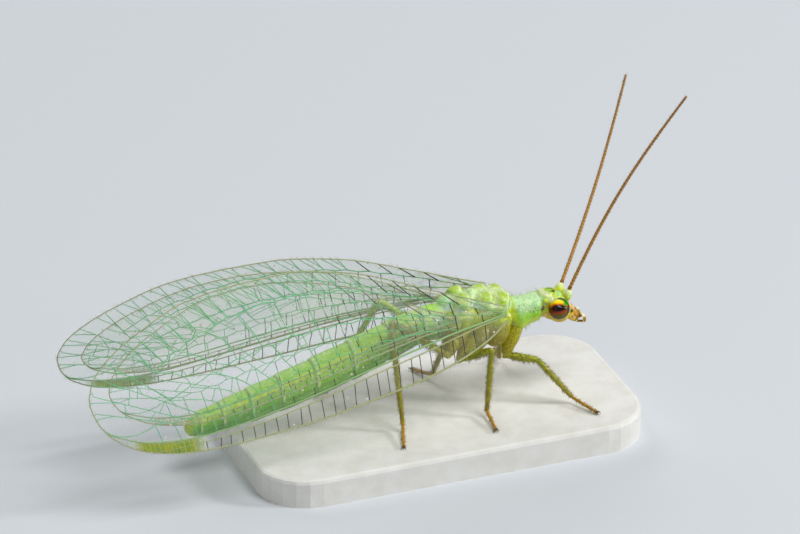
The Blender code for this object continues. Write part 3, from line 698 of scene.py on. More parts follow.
def make_antenna(side_name, material):
    """Scape, dark pedicel ring, then some sixty beads that thin towards the tip."""
    base, reach = ANTENNAE[side_name]
    axis = reach.normalized()
    bow = reach.cross(Vector((0, 1, 0))).normalized() * ANTENNA_BOW[side_name]
    bm = new_wires()

    def place(along):
        t = along / reach.length
        return base + reach * t + bow * math.sin(math.pi * t)

    points, thicks, tints = [], [], []
    for along, thick, tint in ((-0.10, 0.13, 0.24), (0.00, 0.160, 0.20), (0.10, 0.156, 0.12),
                               (0.19, 0.122, 0.02), (0.25, 0.080, 0.0), (0.265, 0.052, 0.6),
                               (0.285, 0.062, 0.70), (0.325, 0.066, 0.55), (0.34, 0.060, 0.85),
                               (0.36, 0.050, 0.85)):
        points.append(place(along))
        thicks.append(thick)
        tints.append(tint)
    add_wire(bm, points, thicks, tints)
    count = 62
    start = 0.35
    points, thicks, tints = [], [], []
    for number in range(count):
        for share, swell, tint in ((0.0, 0.86, 0.72), (0.15, 1.0, 0.5), (0.85, 1.04, 0.5)):
            along = start + (reach.length - start) * (number + share) / count
            points.append(place(along))
            thicks.append(0.054 * swell * (1 - 0.34 * (number / count) ** 1.3))
            tints.append(tint + 0.12 * number / count)
    points.append(place(reach.length))
    thicks.append(0.012)
    tints.append(0.8)
    add_wire(bm, points, thicks, tints)
    feeler = wire_object("antenna_" + side_name + "_rings", bm, 12)
    finish_piece(feeler, material, "antenna", "antenna_" + side_name)

    rng = random.Random(23 if side_name == "left" else 29)
    bristles = new_wires()
    for number in range(count):
        thick = 0.054 * (1 - 0.42 * (number / count) ** 1.3)
        for turn in range(7):
            angle = (turn + rng.random()) * math.tau / 7
            out = (axis.orthogonal().normalized() * math.cos(angle)
                   + axis.cross(axis.orthogonal()).normalized() * math.sin(angle))
            along = start + (reach.length - start) * (number + rng.uniform(0.5, 0.9)) / count
            hair(bristles, place(along) + out * thick * 0.8, out + axis * 1.1, rng.uniform(0.05, 0.10),
                 0.0055, axis * 0.2, rng.uniform(0.0, 0.6))
    return bristles


# Legs

def leg_wires(label):
    """Stations of one leg as (point, thickness, tint): 0 lime, 0.5 olive, 1 tan."""
    top, coxa, knee, ankle, toe = (Vector(p) for p in LEGS[label])
    runs = []

    def run(start, end, profile):
        runs.append([(start.lerp(end, s), r, c) for s, r, c in profile])

    run(top, coxa, ((0.0, 0.25, 0.4), (0.35, 0.26, 0.45), (0.75, 0.20, 0.5), (0.97, 0.13, 0.48)))
    run(coxa - (knee - coxa).normalized() * 0.06, knee,
        ((0.0, 0.10, 0.48), (0.06, 0.115, 0.42), (0.13, 0.095, 0.5), (0.18, 0.100, 0.35),
         (0.45, 0.122, 0.30), (0.75, 0.112, 0.32), (0.94, 0.095, 0.30), (1.0, 0.080, 0.26)))
    run(knee, ankle,
        ((0.0, 0.078, 0.26), (0.03, 0.092, 0.28), (0.10, 0.082, 0.34), (0.40, 0.088, 0.40),
         (0.70, 0.082, 0.45), (0.93, 0.068, 0.55), (0.985, 0.070, 0.75), (1.0, 0.052, 0.8)))
    borders = (0.0, 0.36, 0.56, 0.72, 0.84, 1.0)
    profile = []
    for front, rear in zip(borders, borders[1:]):
        span = rear - front
        profile += [(front + 0.02, 0.038, 0.88), (front + 0.30 * span, 0.048, 0.80),
                    (front + 0.85 * span, 0.056, 0.86)]
    profile.append((1.0, 0.034, 1.0))
    run(ankle, toe, profile)
    return runs


def make_leg(label, material):
    runs = leg_wires(label)
    bm = new_wires()
    stations = []
    for run in runs:
        points, thicks, tints = [], [], []
        for (p, r, c), (q, r2, c2) in zip(run, run[1:]):
            steps = max(1, int((q - p).length / 0.05))
            for k in range(steps):
                t = k / steps
                ease = t * t * (3 - 2 * t)
                points.append(p.lerp(q, t))
                thicks.append(r + (r2 - r) * ease)
                tints.append(c + (c2 - c) * t)
        points.append(run[-1][0])
        thicks.append(run[-1][1])
        tints.append(run[-1][2])
        add_wire(bm, points, thicks, tints)
        stations += list(zip(points, thicks, tints))
    toe = Vector(LEGS[label][4])
    ahead = (toe - Vector(LEGS[label][3])).normalized()
    flat = Vector((ahead.x, ahead.y, 0)).normalized()
    aside = Vector((-flat.y, flat.x, 0))
    for way in (-1, 1):
        claw = [toe, toe + flat * 0.05 + aside * way * 0.04 + Vector((0, 0, 0.03)),
                toe + flat * 0.10 + aside * way * 0.055 + Vector((0, 0, 0.01)),
                toe + flat * 0.125 + aside * way * 0.05 + Vector((0, 0, -0.035))]
        add_wire(bm, claw, [0.026, 0.022, 0.018, 0.012], 1.3)
        stations += [(p, 0.02, 1.3) for p in claw]
    pad = [toe, toe + flat * 0.05 + Vector((0, 0, -0.01))]
    add_wire(bm, pad, [0.034, 0.028], 1.0)
    leg = wire_object("leg_" + label, bm, 12)
    fuse(leg, LEG_VOXEL, 3)

    tree = KDTree(len(stations))
    for i, (point, _, _) in enumerate(stations):
        tree.insert(point, i)
    tree.balance()
    co, normal = vertex_array(leg.data), normal_array(leg.data)
    tints = np.array([stations[tree.find(p)[1]][2] for p in co])
    # Painted light: the far hind leg's upper part is tinted paler and brighter to offset the shade it sits in
    # behind the wings.
    if label == "hind_left":
        tints -= 0.20 * soft_step(0.5, 1.5, co[:, 2])
    layer = leg.data.attributes.new("tint", 'FLOAT', 'POINT')
    layer.data.foreach_set("value", tints.astype(np.float32))

    rng = random.Random(sum(ord(c) for c in label))
    bristles = new_wires()
    coxa = Vector(LEGS[label][1])
    for i in rng.sample(range(len(co)), min(len(co), 1700)):
        root = Vector(co[i])
        if (root - coxa).length < 0.2 or stations[tree.find(root)[1]][1] > 0.16:
            continue
        down = (toe - root).normalized()
        hair(bristles, root - Vector(normal[i]) * 0.005, Vector(normal[i]) + down * 0.8,
             rng.uniform(0.05, 0.11), 0.0050, down * 0.15, rng.uniform(0.3, 1.0))
    upper, lower = "leg_" + label + "_upper", "leg_" + label + "_lower"
    leg.name = "leg_" + label + "_cuticle"
    finish_piece(leg, material, "leg", upper, lower)
    return bristles


# Mouthparts

# Palps of one side, as stations of (x, y, z, thickness, tint)
PALPS = (
    ((3.08, 0.16, 2.27, 0.040, 0.9), (3.16, 0.19, 2.22, 0.040, 0.8), (3.26, 0.23, 2.22, 0.042, 1.1),
     (3.30, 0.24, 2.23, 0.044, 0.9), (3.32, 0.25, 2.24, 0.062, -0.5), (3.36, 0.245, 2.21, 0.060, -0.5),
     (3.38, 0.24, 2.17, 0.042, 0.8), (3.42, 0.23, 2.10, 0.046, 0.75), (3.44, 0.19, 2.02, 0.044, 0.9),
     (3.44, 0.17, 1.99, 0.058, -0.5), (3.40, 0.15, 1.98, 0.054, -0.3), (3.36, 0.14, 1.98, 0.040, 0.8),
     (3.28, 0.12, 1.99, 0.034, 0.85)),
    ((3.05, 0.10, 2.15, 0.042, 0.9), (3.12, 0.125, 2.07, 0.042, 1.2), (3.16, 0.14, 2.05, 0.058, -0.4),
     (3.22, 0.11, 2.00, 0.040, 0.75), (3.30, 0.08, 1.96, 0.036, 0.85), (3.33, 0.07, 1.95, 0.026, 0.4)),
)


def make_mouthparts(material):
    """Two pairs of jointed palps, dark with pale joints, and the two jaws between them."""
    bm = new_wires()
    for side in (-1, 1):
        for palp in PALPS:
            add_wire(bm, [Vector((x, y * side, z)) for x, y, z, _, _ in palp],
                     [thick for _, _, _, thick, _ in palp], [tint for _, _, _, _, tint in palp])
        jaw = [Vector((x, y * side, z)) for x, y, z in
               ((3.02, 0.16, 2.20), (3.16, 0.14, 2.10), (3.25, 0.05, 2.02))]
        add_wire(bm, jaw, [0.07, 0.050, 0.018], [0.75, 0.8, 1.2])
    mouth = wire_object("palps_and_jaws", bm, 12)
    return finish_piece(mouth, material, "leg")


# Wings

WingPlan = namedtuple("WingPlan", "start end depth costal hind lines branches first last middle_to rear_to "
                      "costal_bars stigma heel_bars")

FOREWING = WingPlan(
    start=0.0, end=0.996, depth=0.0,
    costal=((0.0, 0.22), (0.05, 0.66), (0.13, 1.12), (0.22, 1.46), (0.35, 1.78), (0.5, 2.08),
            (0.75, 2.30), (0.885, 2.02), (0.96, 1.42), (0.99, 0.84), (1.0, 0.38)),
    hind=((0.0, 0.22), (0.05, 0.46), (0.10, 0.72), (0.14, 0.94), (0.20, 1.26), (0.27, 1.66),
          (0.34, 2.01), (0.43, 2.30), (0.52, 2.45), (0.75, 2.18),
          (0.885, 1.42), (0.96, 0.76), (0.99, 0.26), (1.0, -0.16)),
    lines={
        "subcosta": ((0.0, 0.40), (0.05, 0.424), (0.1, 0.378), (0.2, 0.286), (0.3, 0.215),
                     (0.4, 0.163), (0.5, 0.122), (0.6, 0.092), (0.7, 0.068), (0.8, 0.045),
                     (0.87, 0.0)),
        "radius": ((0.0, 0.50), (0.06, 0.476), (0.12, 0.431), (0.2, 0.353), (0.3, 0.268),
                   (0.4, 0.210), (0.5, 0.165), (0.6, 0.135), (0.7, 0.110), (0.8, 0.092),
                   (0.88, 0.082), (0.94, 0.06), (0.975, 0.0)),
        "sector": ((0.115, 0.435), (0.15, 0.481), (0.2, 0.493), (0.3, 0.447), (0.4, 0.404),
                   (0.5, 0.352), (0.6, 0.295), (0.7, 0.26), (0.8, 0.235), (0.88, 0.235),
                   (0.93, 0.26), (0.97, 0.36)),
        "middle": ((0.0, 0.62), (0.07, 0.677), (0.13, 0.687), (0.2, 0.683), (0.3, 0.646),
                   (0.4, 0.618), (0.5, 0.59), (0.6, 0.56), (0.68, 0.515), (0.75, 0.46),
                   (0.82, 0.40), (0.9, 0.36)),
        "rear": ((0.0, 0.76), (0.07, 0.82), (0.13, 0.865), (0.2, 0.875), (0.3, 0.865),
                 (0.4, 0.860), (0.5, 0.845), (0.6, 0.835), (0.68, 0.80), (0.76, 0.745),
                 (0.83, 0.67), (0.89, 0.58), (0.95, 0.50)),
    },
    branches=15, first=0.145, last=0.84, middle_to=0.84, rear_to=0.88, costal_bars=26, stigma=(0.755, 0.915),
    heel_bars=(("rear", 0.113, 0.156), ("rear", 0.171, 0.218)))

HINDWING = WingPlan(
    start=0.112, end=0.945, depth=-0.24,
    costal=((0.0, 0.14), (0.10, 0.20), (0.17, 0.34), (0.32, 0.66), (0.5, 1.08), (0.65, 1.38),
            (0.77, 1.48), (0.885, 1.28), (0.96, 0.86), (0.99, 0.50), (1.0, 0.22)),
    hind=((0.0, 0.14), (0.10, 0.62), (0.30, 1.66), (0.52, 2.22), (0.72, 2.06), (0.885, 1.28),
          (0.96, 0.68), (0.99, 0.26), (1.0, -0.08)),
    lines={
        "subcosta": ((0.0, 0.44), (0.1, 0.12), (0.2, 0.075), (0.4, 0.055), (0.6, 0.045), (0.8, 0.032),
                     (0.88, 0.0)),
        "radius": ((0.0, 0.50), (0.08, 0.24), (0.16, 0.15), (0.3, 0.115), (0.5, 0.098), (0.7, 0.088),
                   (0.85, 0.080), (0.94, 0.06), (0.975, 0.0)),
        "sector": ((0.06, 0.32), (0.12, 0.33), (0.2, 0.35), (0.35, 0.345), (0.5, 0.33), (0.65, 0.30),
                   (0.8, 0.27), (0.9, 0.28), (0.97, 0.40)),
        "middle": ((0.0, 0.54), (0.08, 0.52), (0.2, 0.575), (0.35, 0.60), (0.5, 0.59), (0.62, 0.55),
                   (0.72, 0.49), (0.82, 0.42), (0.9, 0.38)),
        "rear": ((0.0, 0.58), (0.08, 0.68), (0.2, 0.79), (0.35, 0.84), (0.5, 0.84), (0.62, 0.81),
                 (0.72, 0.74), (0.82, 0.64), (0.9, 0.54), (0.95, 0.50)),
    },
    branches=13, first=0.14, last=0.83, middle_to=0.83, rear_to=0.87, costal_bars=20, stigma=(0.76, 0.90),
    heel_bars=(("rear", 0.10, 0.16),))


def wing_point(plan, side, share, across, lift=0.0):
    """A point of a wing by its share of the length and of the width from the costal edge."""
    costal = smooth_value(plan.costal, share)
    run = -costal + across * (costal + smooth_value(plan.hind, share))
    along = plan.start + (plan.end - plan.start) * share
    arch = math.sin(math.pi * min(max(along, 0), 1))
    bow = (WING_BOW * arch + WING_TWIST * along * run / 2.3
           + WING_CAMBER * arch * max(0, 1 - (run / 2.4) ** 2))
    up = Vector((0, -math.cos(ROOF_SLOPE), math.sin(ROOF_SLOPE)))
    out = Vector((0, math.sin(ROOF_SLOPE), math.cos(ROOF_SLOPE)))
    point = WING_ROOT.lerp(WING_APEX, along) + up * run + out * (bow + plan.depth + lift)
    point.y *= side
    return point


def dense(points, step):
    """The same broken line in wing shares, with points no further apart than step."""
    line = [points[0]]
    for (s0, w0), (s1, w1) in zip(points, points[1:]):
        count = max(1, math.ceil(max(abs(s1 - s0), abs(w1 - w0) * 0.33) / step))
        line += [(s0 + (s1 - s0) * k / count, w0 + (w1 - w0) * k / count)
                 for k in range(1, count + 1)]
    return line


# A vein: its line in wing shares, thickness at both ends, and tint along it
Vein = namedtuple("Vein", "line thick end_thick tint")
YELLOW, GREY, GREEN, DARK = 0.0, 0.33, 0.66, 1.0


def curve_line(knots, start, end, count=60):
    return [(s, smooth_value(knots, s)) for s in
            (start + (end - start) * i / count for i in range(count + 1))]


def straight(plan, first, last, sag=0.0, count=24):
    """A line that runs straight over the film between two points given in wing shares."""
    def widths(s):
        costal = smooth_value(plan.costal, s)
        return costal, costal + smooth_value(plan.hind, s)

    runs = []
    for s, w in (first, last):
        costal, whole = widths(s)
        runs.append(w * whole - costal)
    line = []
    for i in range(count + 1):
        t = i / count
        s = first[0] + (last[0] - first[0]) * t
        costal, whole = widths(s)
        run = runs[0] + (runs[1] - runs[0]) * t + sag * 4 * t * (1 - t)
        line.append((s, min(max((run + costal) / whole, 0.0), 1.0)))
    return line


def rim_points(plan, hind_from, costal_to, count):
    """Points spaced evenly round the apex, from the hind margin to the front margin."""
    path = [(hind_from + (1 - hind_from) * i / 20, 1.0) for i in range(21)]
    path += [(1.0, 1 - i / 8) for i in range(1, 8)]
    path += [(1 - (1 - costal_to) * i / 12, 0.0) for i in range(13)]
    places = [wing_point(plan, 1, s, w) for s, w in path]
    gone = [0.0]
    for a, b in zip(places, places[1:]):
        gone.append(gone[-1] + (b - a).length)
    points = []
    for number in range(count):
        wanted = gone[-1] * number / (count - 1)
        points.append(next(p for p, d in zip(path, gone) if d >= wanted - 1e-9))
    return points


def part_of(line, share):
    """The point at a share of a line's points."""
    return line[round(share * (len(line) - 1))]


def add_fork(plan, veins, start, ends, thick=0.012, first=0.40):
    """A vein that parts again and again on its way to the margin, which it meets at the ends."""
    stem = straight(plan, start, ends[0])
    veins.append(Vein(stem, thick, 0.009, GREEN))
    half = (len(ends) + 1) // 2
    if half > 1:
        add_fork(plan, veins, part_of(stem, 0.45), ends[1:half], 0.010)
    if len(ends) > half:
        add_fork(plan, veins, part_of(stem, 0.14 if half > 1 else first), ends[half:], 0.010)


def bent(plan, first, last, bend):
    """A vein that leaves steeply and then turns along the wing, as a list of wing shares."""
    line = straight(plan, first, last)
    count = len(line) - 1
    most = 0.28 * abs(last[0] - first[0])
    bend = max(-0.3 * most, min(bend, most))
    return [(s - bend * math.sin(math.pi * i / count), w) for i, (s, w) in enumerate(line)]


def add_frame_veins(plan, veins, rng):
    """The margin, the long veins behind the front edge, and the bars between them."""
    lines = plan.lines

    def at(name, s):
        return (s, smooth_value(lines[name], s))

    front = [(i / 90, 0.0) for i in range(91)]
    tip = [(1.0, k / 4) for k in range(5)]
    back = [(i / 90, 1.0) for i in range(91)]
    veins.append(Vein(front, 0.034, 0.018, GREY))
    veins.append(Vein(tip, 0.018, 0.016, GREY))
    veins.append(Vein(back, 0.018, 0.015, GREY))
    veins.append(Vein(curve_line(lines["subcosta"], 0.0, lines["subcosta"][-1][0]), 0.024, 0.012, 0.30))
    veins.append(Vein(curve_line(lines["radius"], 0.0, lines["radius"][-1][0]), 0.034, 0.015, 0.42))

    step = (plan.stigma[0] + 0.02 - 0.06) / plan.costal_bars
    for number in range(plan.costal_bars):
        s = 0.06 + step * (number + rng.uniform(-0.12, 0.12))
        lean = rng.uniform(-0.003, 0.004)
        veins.append(Vein([(s, 0.0), at("subcosta", s + lean)], 0.012, 0.0135, DARK))
    s = plan.stigma[0]
    while s < plan.stigma[1]:
        veins.append(Vein([(s, 0.0), at("radius", s + 0.004)], 0.010, 0.010, YELLOW))
        s += rng.uniform(0.008, 0.012)


def add_net(plan, veins, rng):
    """Three zigzag rows and the branches that cross them, then part before the hind margin."""
    lines = plan.lines
    rise = 0.008

    def at(name, s, shift=0.0):
        return (s, smooth_value(lines[name], s) + shift)

    def shade(s, green_from):
        return "dark ends" if s < green_from else GREEN

    kinks = []
    for number in range(plan.branches + 1):
        t = number / (plan.branches - 1)
        s = plan.first + (plan.last - plan.first) * (t + 0.16 * t * (1 - t))
        kinks.append(s + 0.06 * rng.uniform(-0.05, 0.05))

    # Near the root a branch runs for a while along each row; further out it only crosses them
    sector = [at("sector", lines["sector"][0][0])]
    middle, outs, free, branch = [], [], [], None
    rear = []
    for s, following in zip(kinks, kinks[1:]):
        kink, bar = at("sector", s, rise), at("sector", (s + following) / 2, -rise)
        sector += [kink, bar]
        veins.append(Vein([at("radius", bar[0] - 0.006 - 0.008 * s), bar], 0.012, 0.011, shade(s, 0.55)))
        along = 0.5 * (following - s) * (1 - soft_step(0.50, 0.68, s))
        foot = at("middle", s + 0.012 + 0.10 * soft_step(0.38, 0.72, s), -rise)
        if foot[0] > plan.middle_to:
            free.append(kink)
            continue
        last, branch = branch, bent(plan, kink, foot, 0.35 * (s - 0.58))
        veins.append(Vein(branch, 0.012, 0.011, shade(s, 0.42)))
        if 0.45 < s < 0.74:
            veins.append(Vein([part_of(last, 0.72), part_of(branch, 0.40)], 0.010, 0.010, GREEN))
        leave = at("middle", foot[0] + along, rise)
        middle += [foot, leave]
        foot = at("rear", leave[0] + 0.012 + 0.07 * soft_step(0.40, 0.80, leave[0]), -rise)
        if foot[0] > plan.rear_to:
            free.append(leave)
            continue
        veins.append(Vein(bent(plan, leave, foot, 0.2 * (leave[0] - 0.58)), 0.012, 0.011,
                          shade(leave[0], 0.45)))
        outs.append(at("rear", foot[0] + along, rise))
        rear += [foot, outs[-1]]

    # Behind the last row: dark bars at first, then forks whose ends are evenly spaced
    gap = outs[-1][0] - outs[-2][0]
    for number, out in enumerate(outs):
        edge = out[0] + 0.020 + 0.035 * out[0]
        if edge < 0.33:
            veins.append(Vein(straight(plan, out, (edge + 0.012, 1.0)), 0.015, 0.013, DARK))
            continue
        here = outs[number + 1][0] - out[0] if number + 1 < len(outs) else gap
        parts = 3 if here < 0.066 else 4
        ends = [(edge + here * part / parts, 1.0) for part in range(parts)]
        add_fork(plan, veins, out, ends[:2], first=0.22)
        if number + 1 < len(outs):
            following = rear[2 * number + 2]
            halfway = ((out[0] + following[0]) / 2, (out[1] + following[1]) / 2)
            add_fork(plan, veins, halfway, ends[2:], first=0.22)

    # The branches that are still free run out to the apex, tied by two rows of short bars
    ends = rim_points(plan, min(edge + here, 0.985), 0.975, 2 * len(free) + 2)
    rays = []
    for number, start in enumerate(free):
        add_fork(plan, veins, start, ends[2 * number:2 * number + 2], 0.012, 0.70)
        rays.append(straight(plan, start, ends[2 * number]))
    for number, (ray, following) in enumerate(zip(rays, rays[1:])):
        for share in (0.30, 0.62):
            share += 0.05 * (number % 2)
            veins.append(Vein([part_of(ray, share), part_of(following, share - 0.08)],
                              0.010, 0.010, GREEN))
    sector.append(ends[-2])
    veins.append(Vein(sector, 0.014, 0.010, GREEN))
    for name, row in (("middle", middle), ("rear", rear)):
        veins.append(Vein(curve_line(lines[name], 0.0, row[0][0], 14)[:-1] + row, 0.015, 0.011, GREEN))


def add_heel(plan, veins):
    """Veins and bars of the wing's heel, near its root."""
    lines = plan.lines

    def at(name, s):
        return (s, smooth_value(lines[name], s))

    for s in (0.060, 0.126):
        veins.append(Vein([at("radius", s), at("middle", s + 0.002)], 0.017, 0.015, DARK))
    for s in (0.070, 0.131):
        veins.append(Vein([at("middle", s), at("rear", s + 0.006)], 0.017, 0.015, DARK))
    rear_here = smooth_value(lines["rear"], 0.05)
    for reach, depth in ((0.085, 0.35), (0.125, 0.7)):
        line = [(0.01, 0.6), (0.05, rear_here + (1 - rear_here) * depth * 0.6),
                (reach * 0.8, rear_here + (1 - rear_here) * 0.85), (reach, 1.0)]
        veins.append(Vein(line, 0.020, 0.013, GREEN))
    for name, s, margin in plan.heel_bars:
        veins.append(Vein(straight(plan, at(name, s), (margin, 1.0)), 0.018, 0.015, DARK))


def wing_veins(plan, rng):
    """Every vein of one wing."""
    veins = []
    add_frame_veins(plan, veins, rng)
    add_net(plan, veins, rng)
    add_heel(plan, veins)
    return veins


def vein_tints(shade, line):
    """Tint of each point of a vein: paler near the root, and many bars have dark ends."""
    last = len(line) - 1
    if shade == "dark ends":
        return [DARK if abs(2 * i / last - 1) > 0.45 else GREEN for i in range(last + 1)]
    if shade in (YELLOW, GREEN):
        fade = 0.30 if shade == YELLOW else -0.24
        return [shade + fade * float(soft_step(0.26, 0.04, s)) for s, _ in line]
    return [shade] * len(line)


def make_wing(pair_name, plan, side, film, vein_paint, node):
    """Film, net of veins and fringe of one wing."""
    side_name = "left" if side > 0 else "right"
    rng = random.Random(41 if pair_name == "fore" else 43)
    label = pair_name + "wing_" + side_name

    across_count, along_count = 44, 150
    ripe, finer = (1.0, 1.0) if pair_name == "fore" else (0.4, 0.85)
    bm = bmesh.new()
    bmesh.ops.create_grid(bm, x_segments=along_count, y_segments=across_count, size=0.5)
    stigma = bm.verts.layers.float.new("stigma")
    root = bm.verts.layers.float.new("root")
    for vert in bm.verts:
        share = 1 - (0.5 - vert.co.x) ** 1.4
        across = vert.co.y + 0.5
        inner = smooth_value(plan.lines["radius"], min(share, 0.97))
        here = soft_step(plan.stigma[0] - 0.02, plan.stigma[0] + 0.03, share)
        here *= soft_step(plan.stigma[1] + 0.02, plan.stigma[1] - 0.03, share)
        vert[stigma] = float(here * soft_step(inner + 0.02, inner - 0.01, across)) * ripe
        vert[root] = float(soft_step(0.28, 0.10, share) * soft_step(inner + 0.06, inner + 0.30, across))
        vert.co = wing_point(plan, side, share, across)
    bmesh.ops.recalc_face_normals(bm, faces=bm.faces)
    sheet = new_object(label + "_film", bm)
    shell = sheet.modifiers.new("thickness", 'SOLIDIFY')
    shell.thickness = 0.012
    shell.offset = 0.0
    apply_modifiers(sheet)
    finish_piece(sheet, film, "wing_membrane", node)

    wires, fringe = new_wires(), new_wires()
    for vein in wing_veins(plan, rng):
        line = dense(vein.line, 0.007)
        points = [wing_point(plan, side, s, w) for s, w in line]
        last = len(points) - 1
        thicks = [finer * (vein.thick + (vein.end_thick - vein.thick) * i / last)
                  for i in range(last + 1)]
        add_wire(wires, points, thicks, vein_tints(vein.tint, line))
        bristle_vein(fringe, points, thicks, rng, vein.tint == GREY)
    net = wire_object(label + "_veins", wires, 6)
    finish_piece(net, vein_paint, "wing_vein")
    return fringe


def bristle_vein(bm, points, thicks, rng, margin):
    """Short slanting bristles evenly spaced along a vein, longer and denser on the margin."""
    gone, spacing = 0.0, 0.045 if margin else 0.075
    for i in range(1, len(points)):
        along = points[i] - points[i - 1]
        gone += along.length
        if gone < spacing or along.length < 1e-4:
            continue
        along.normalize()
        out = along.cross(Vector((rng.uniform(-1, 1), rng.uniform(-1, 1), rng.uniform(-1, 1))))
        if out.length < 0.2:
            continue
        gone = 0.0
        out.normalize()
        root = points[i] + out * thicks[i] * 0.7
        length = rng.uniform(0.10, 0.17) if margin else rng.uniform(0.07, 0.12)
        hair(bm, root, out + along * 0.9, length, 0.0045, along * 0.15, rng.uniform(0.2, 0.8))


# Finishes

def shader_of(mat):
    return mat.node_tree.nodes["Principled BSDF"]


def new_material(name, roughness, colour=(0.5, 0.5, 0.5, 1.0)):
    mat = bpy.data.materials.new(name)
    mat.use_nodes = True
    shader = shader_of(mat)
    shader.inputs["Roughness"].default_value = roughness
    shader.inputs["Base Color"].default_value = colour
    return mat


def add_node(mat, kind, **values):
    node = mat.node_tree.nodes.new(kind)
    for key, value in values.items():
        setattr(node, key, value)
    return node


def noise_node(mat, scale, detail=4.0, roughness=0.5):
    """Noise on the model's own coordinates, with scale in cycles a millimetre."""
    nodes, links = mat.node_tree.nodes, mat.node_tree.links
    place = nodes.get("place") or nodes.new('ShaderNodeTexCoord')
    place.name = "place"
    noise = nodes.new('ShaderNodeTexNoise')
    noise.inputs["Scale"].default_value = scale / MM
    noise.inputs["Detail"].default_value = detail
    noise.inputs["Roughness"].default_value = roughness
    links.new(place.outputs["Object"], noise.inputs["Vector"])
    return noise


def map_range(mat, source, low, high, new_low, new_high):
    node = add_node(mat, 'ShaderNodeMapRange')
    for name, value in (("From Min", low), ("From Max", high), ("To Min", new_low), ("To Max", new_high)):
        node.inputs[name].default_value = value
    mat.node_tree.links.new(source, node.inputs["Value"])
    return node.outputs["Result"]


def mix_colour(mat, factor, first, second, blend='MIX'):
    """Mix two colours, each a socket or a fixed colour."""
    node = add_node(mat, 'ShaderNodeMix', data_type='RGBA', blend_type=blend)
    links = mat.node_tree.links
    for socket, value in ((node.inputs[0], factor), (node.inputs[6], first), (node.inputs[7], second)):
        if hasattr(value, "is_linked"):
            links.new(value, socket)
        else:
            socket.default_value = value
    return node.outputs[2]


def add_bump(mat, source, depth, strength=1.0):
    """Bump with its depth in millimetres."""
    bump = add_node(mat, 'ShaderNodeBump')
    bump.inputs["Strength"].default_value = strength
    bump.inputs["Distance"].default_value = depth * MM
    links = mat.node_tree.links
    links.new(source, bump.inputs["Height"])
    shader = shader_of(mat)
    if shader.inputs["Normal"].is_linked:
        links.new(shader.inputs["Normal"].links[0].from_socket, bump.inputs["Normal"])
    links.new(bump.outputs["Normal"], shader.inputs["Normal"])


def colour_ramp(mat, source, stops):
    ramp = add_node(mat, 'ShaderNodeValToRGB')
    elements = ramp.color_ramp.elements
    while len(elements) < len(stops):
        elements.new(0.5)
    for element, (position, colour) in zip(elements, stops):
        element.position = position
        element.color = colour
    mat.node_tree.links.new(source, ramp.inputs["Fac"])
    return ramp.outputs["Color"]


def math_node(mat, operation, first, second):
    node = add_node(mat, 'ShaderNodeMath', operation=operation)
    for socket, value in ((node.inputs[0], first), (node.inputs[1], second)):
        if hasattr(value, "is_linked"):
            mat.node_tree.links.new(value, socket)
        else:
            socket.default_value = value
    return node.outputs[0]


def tint_ramp(mat, stops, attribute="tint"):
    """Colour by an attribute through a ramp of (position, colour) stops."""
    source = add_node(mat, 'ShaderNodeAttribute', attribute_name=attribute)
    return colour_ramp(mat, source.outputs["Fac"], stops)


def give_flesh(mat, weight, radius):
    """Light that goes a little way in, as it does in thin cuticle; radius in millimetres."""
    shader = shader_of(mat)
    shader.inputs["Subsurface Weight"].default_value = weight
    shader.inputs["Subsurface Radius"].default_value = (0.8, 1.0, 0.25)
    shader.inputs["Subsurface Scale"].default_value = radius * MM


def skin_finish():
    mat = new_material("waxy_green_cuticle", 0.42)
    links = mat.node_tree.links
    shader = shader_of(mat)
    painted = add_node(mat, 'ShaderNodeAttribute', attribute_name="colour")
    mottle = noise_node(mat, 5.0, 5.0, 0.6)
    pale = map_range(mat, mottle.outputs["Fac"], 0.50, 0.75, 0.0, 0.26)
    colour = mix_colour(mat, pale, painted.outputs["Color"], PALE)
    shade = map_range(mat, noise_node(mat, 11.0, 3.0).outputs["Fac"], 0.30, 0.60, 0.82, 1.08)
    colour = mix_colour(mat, 1.0, colour, shade, 'MULTIPLY')
    granule = map_range(mat, noise_node(mat, 20.0, 1.0).outputs["Fac"], 0.66, 0.74, 0.0, 0.45)
    colour = mix_colour(mat, granule, colour, tone(250, 250, 226))
    speck = map_range(mat, noise_node(mat, 26.0, 2.0).outputs["Fac"], 0.62, 0.69, 0.0, 0.50)
    colour = mix_colour(mat, speck, colour, OLIVE)
    links.new(colour, shader.inputs["Base Color"])
    gloss = map_range(mat, noise_node(mat, 14.0, 3.0).outputs["Fac"], 0.3, 0.7, 0.32, 0.55)
    links.new(gloss, shader.inputs["Roughness"])
    add_bump(mat, noise_node(mat, 9.0, 4.0, 0.6).outputs["Fac"], 0.025, 0.6)
    add_bump(mat, noise_node(mat, 45.0, 2.0).outputs["Fac"], 0.006, 0.6)
    give_flesh(mat, 0.35, 0.16)
    shader.inputs["Coat Weight"].default_value = 0.10
    shader.inputs["Coat Roughness"].default_value = 0.25
    return mat


def eye_finish():
    mat = new_material("glowing_faceted_eye", 0.40)
    links = mat.node_tree.links
    shader = shader_of(mat)
    painted = add_node(mat, 'ShaderNodeAttribute', attribute_name="colour")
    links.new(painted.outputs["Color"], shader.inputs["Base Color"])
    cells = add_node(mat, 'ShaderNodeTexVoronoi', feature='F1')
    cells.inputs["Scale"].default_value = 60 / MM
    place = add_node(mat, 'ShaderNodeTexCoord')
    links.new(place.outputs["Object"], cells.inputs["Vector"])
    add_bump(mat, cells.outputs["Distance"], -0.002, 0.25)
    shader.inputs["Specular IOR Level"].default_value = 0.12
    shader.inputs["Coat Weight"].default_value = 0.3
    shader.inputs["Coat Roughness"].default_value = 0.02
    return mat


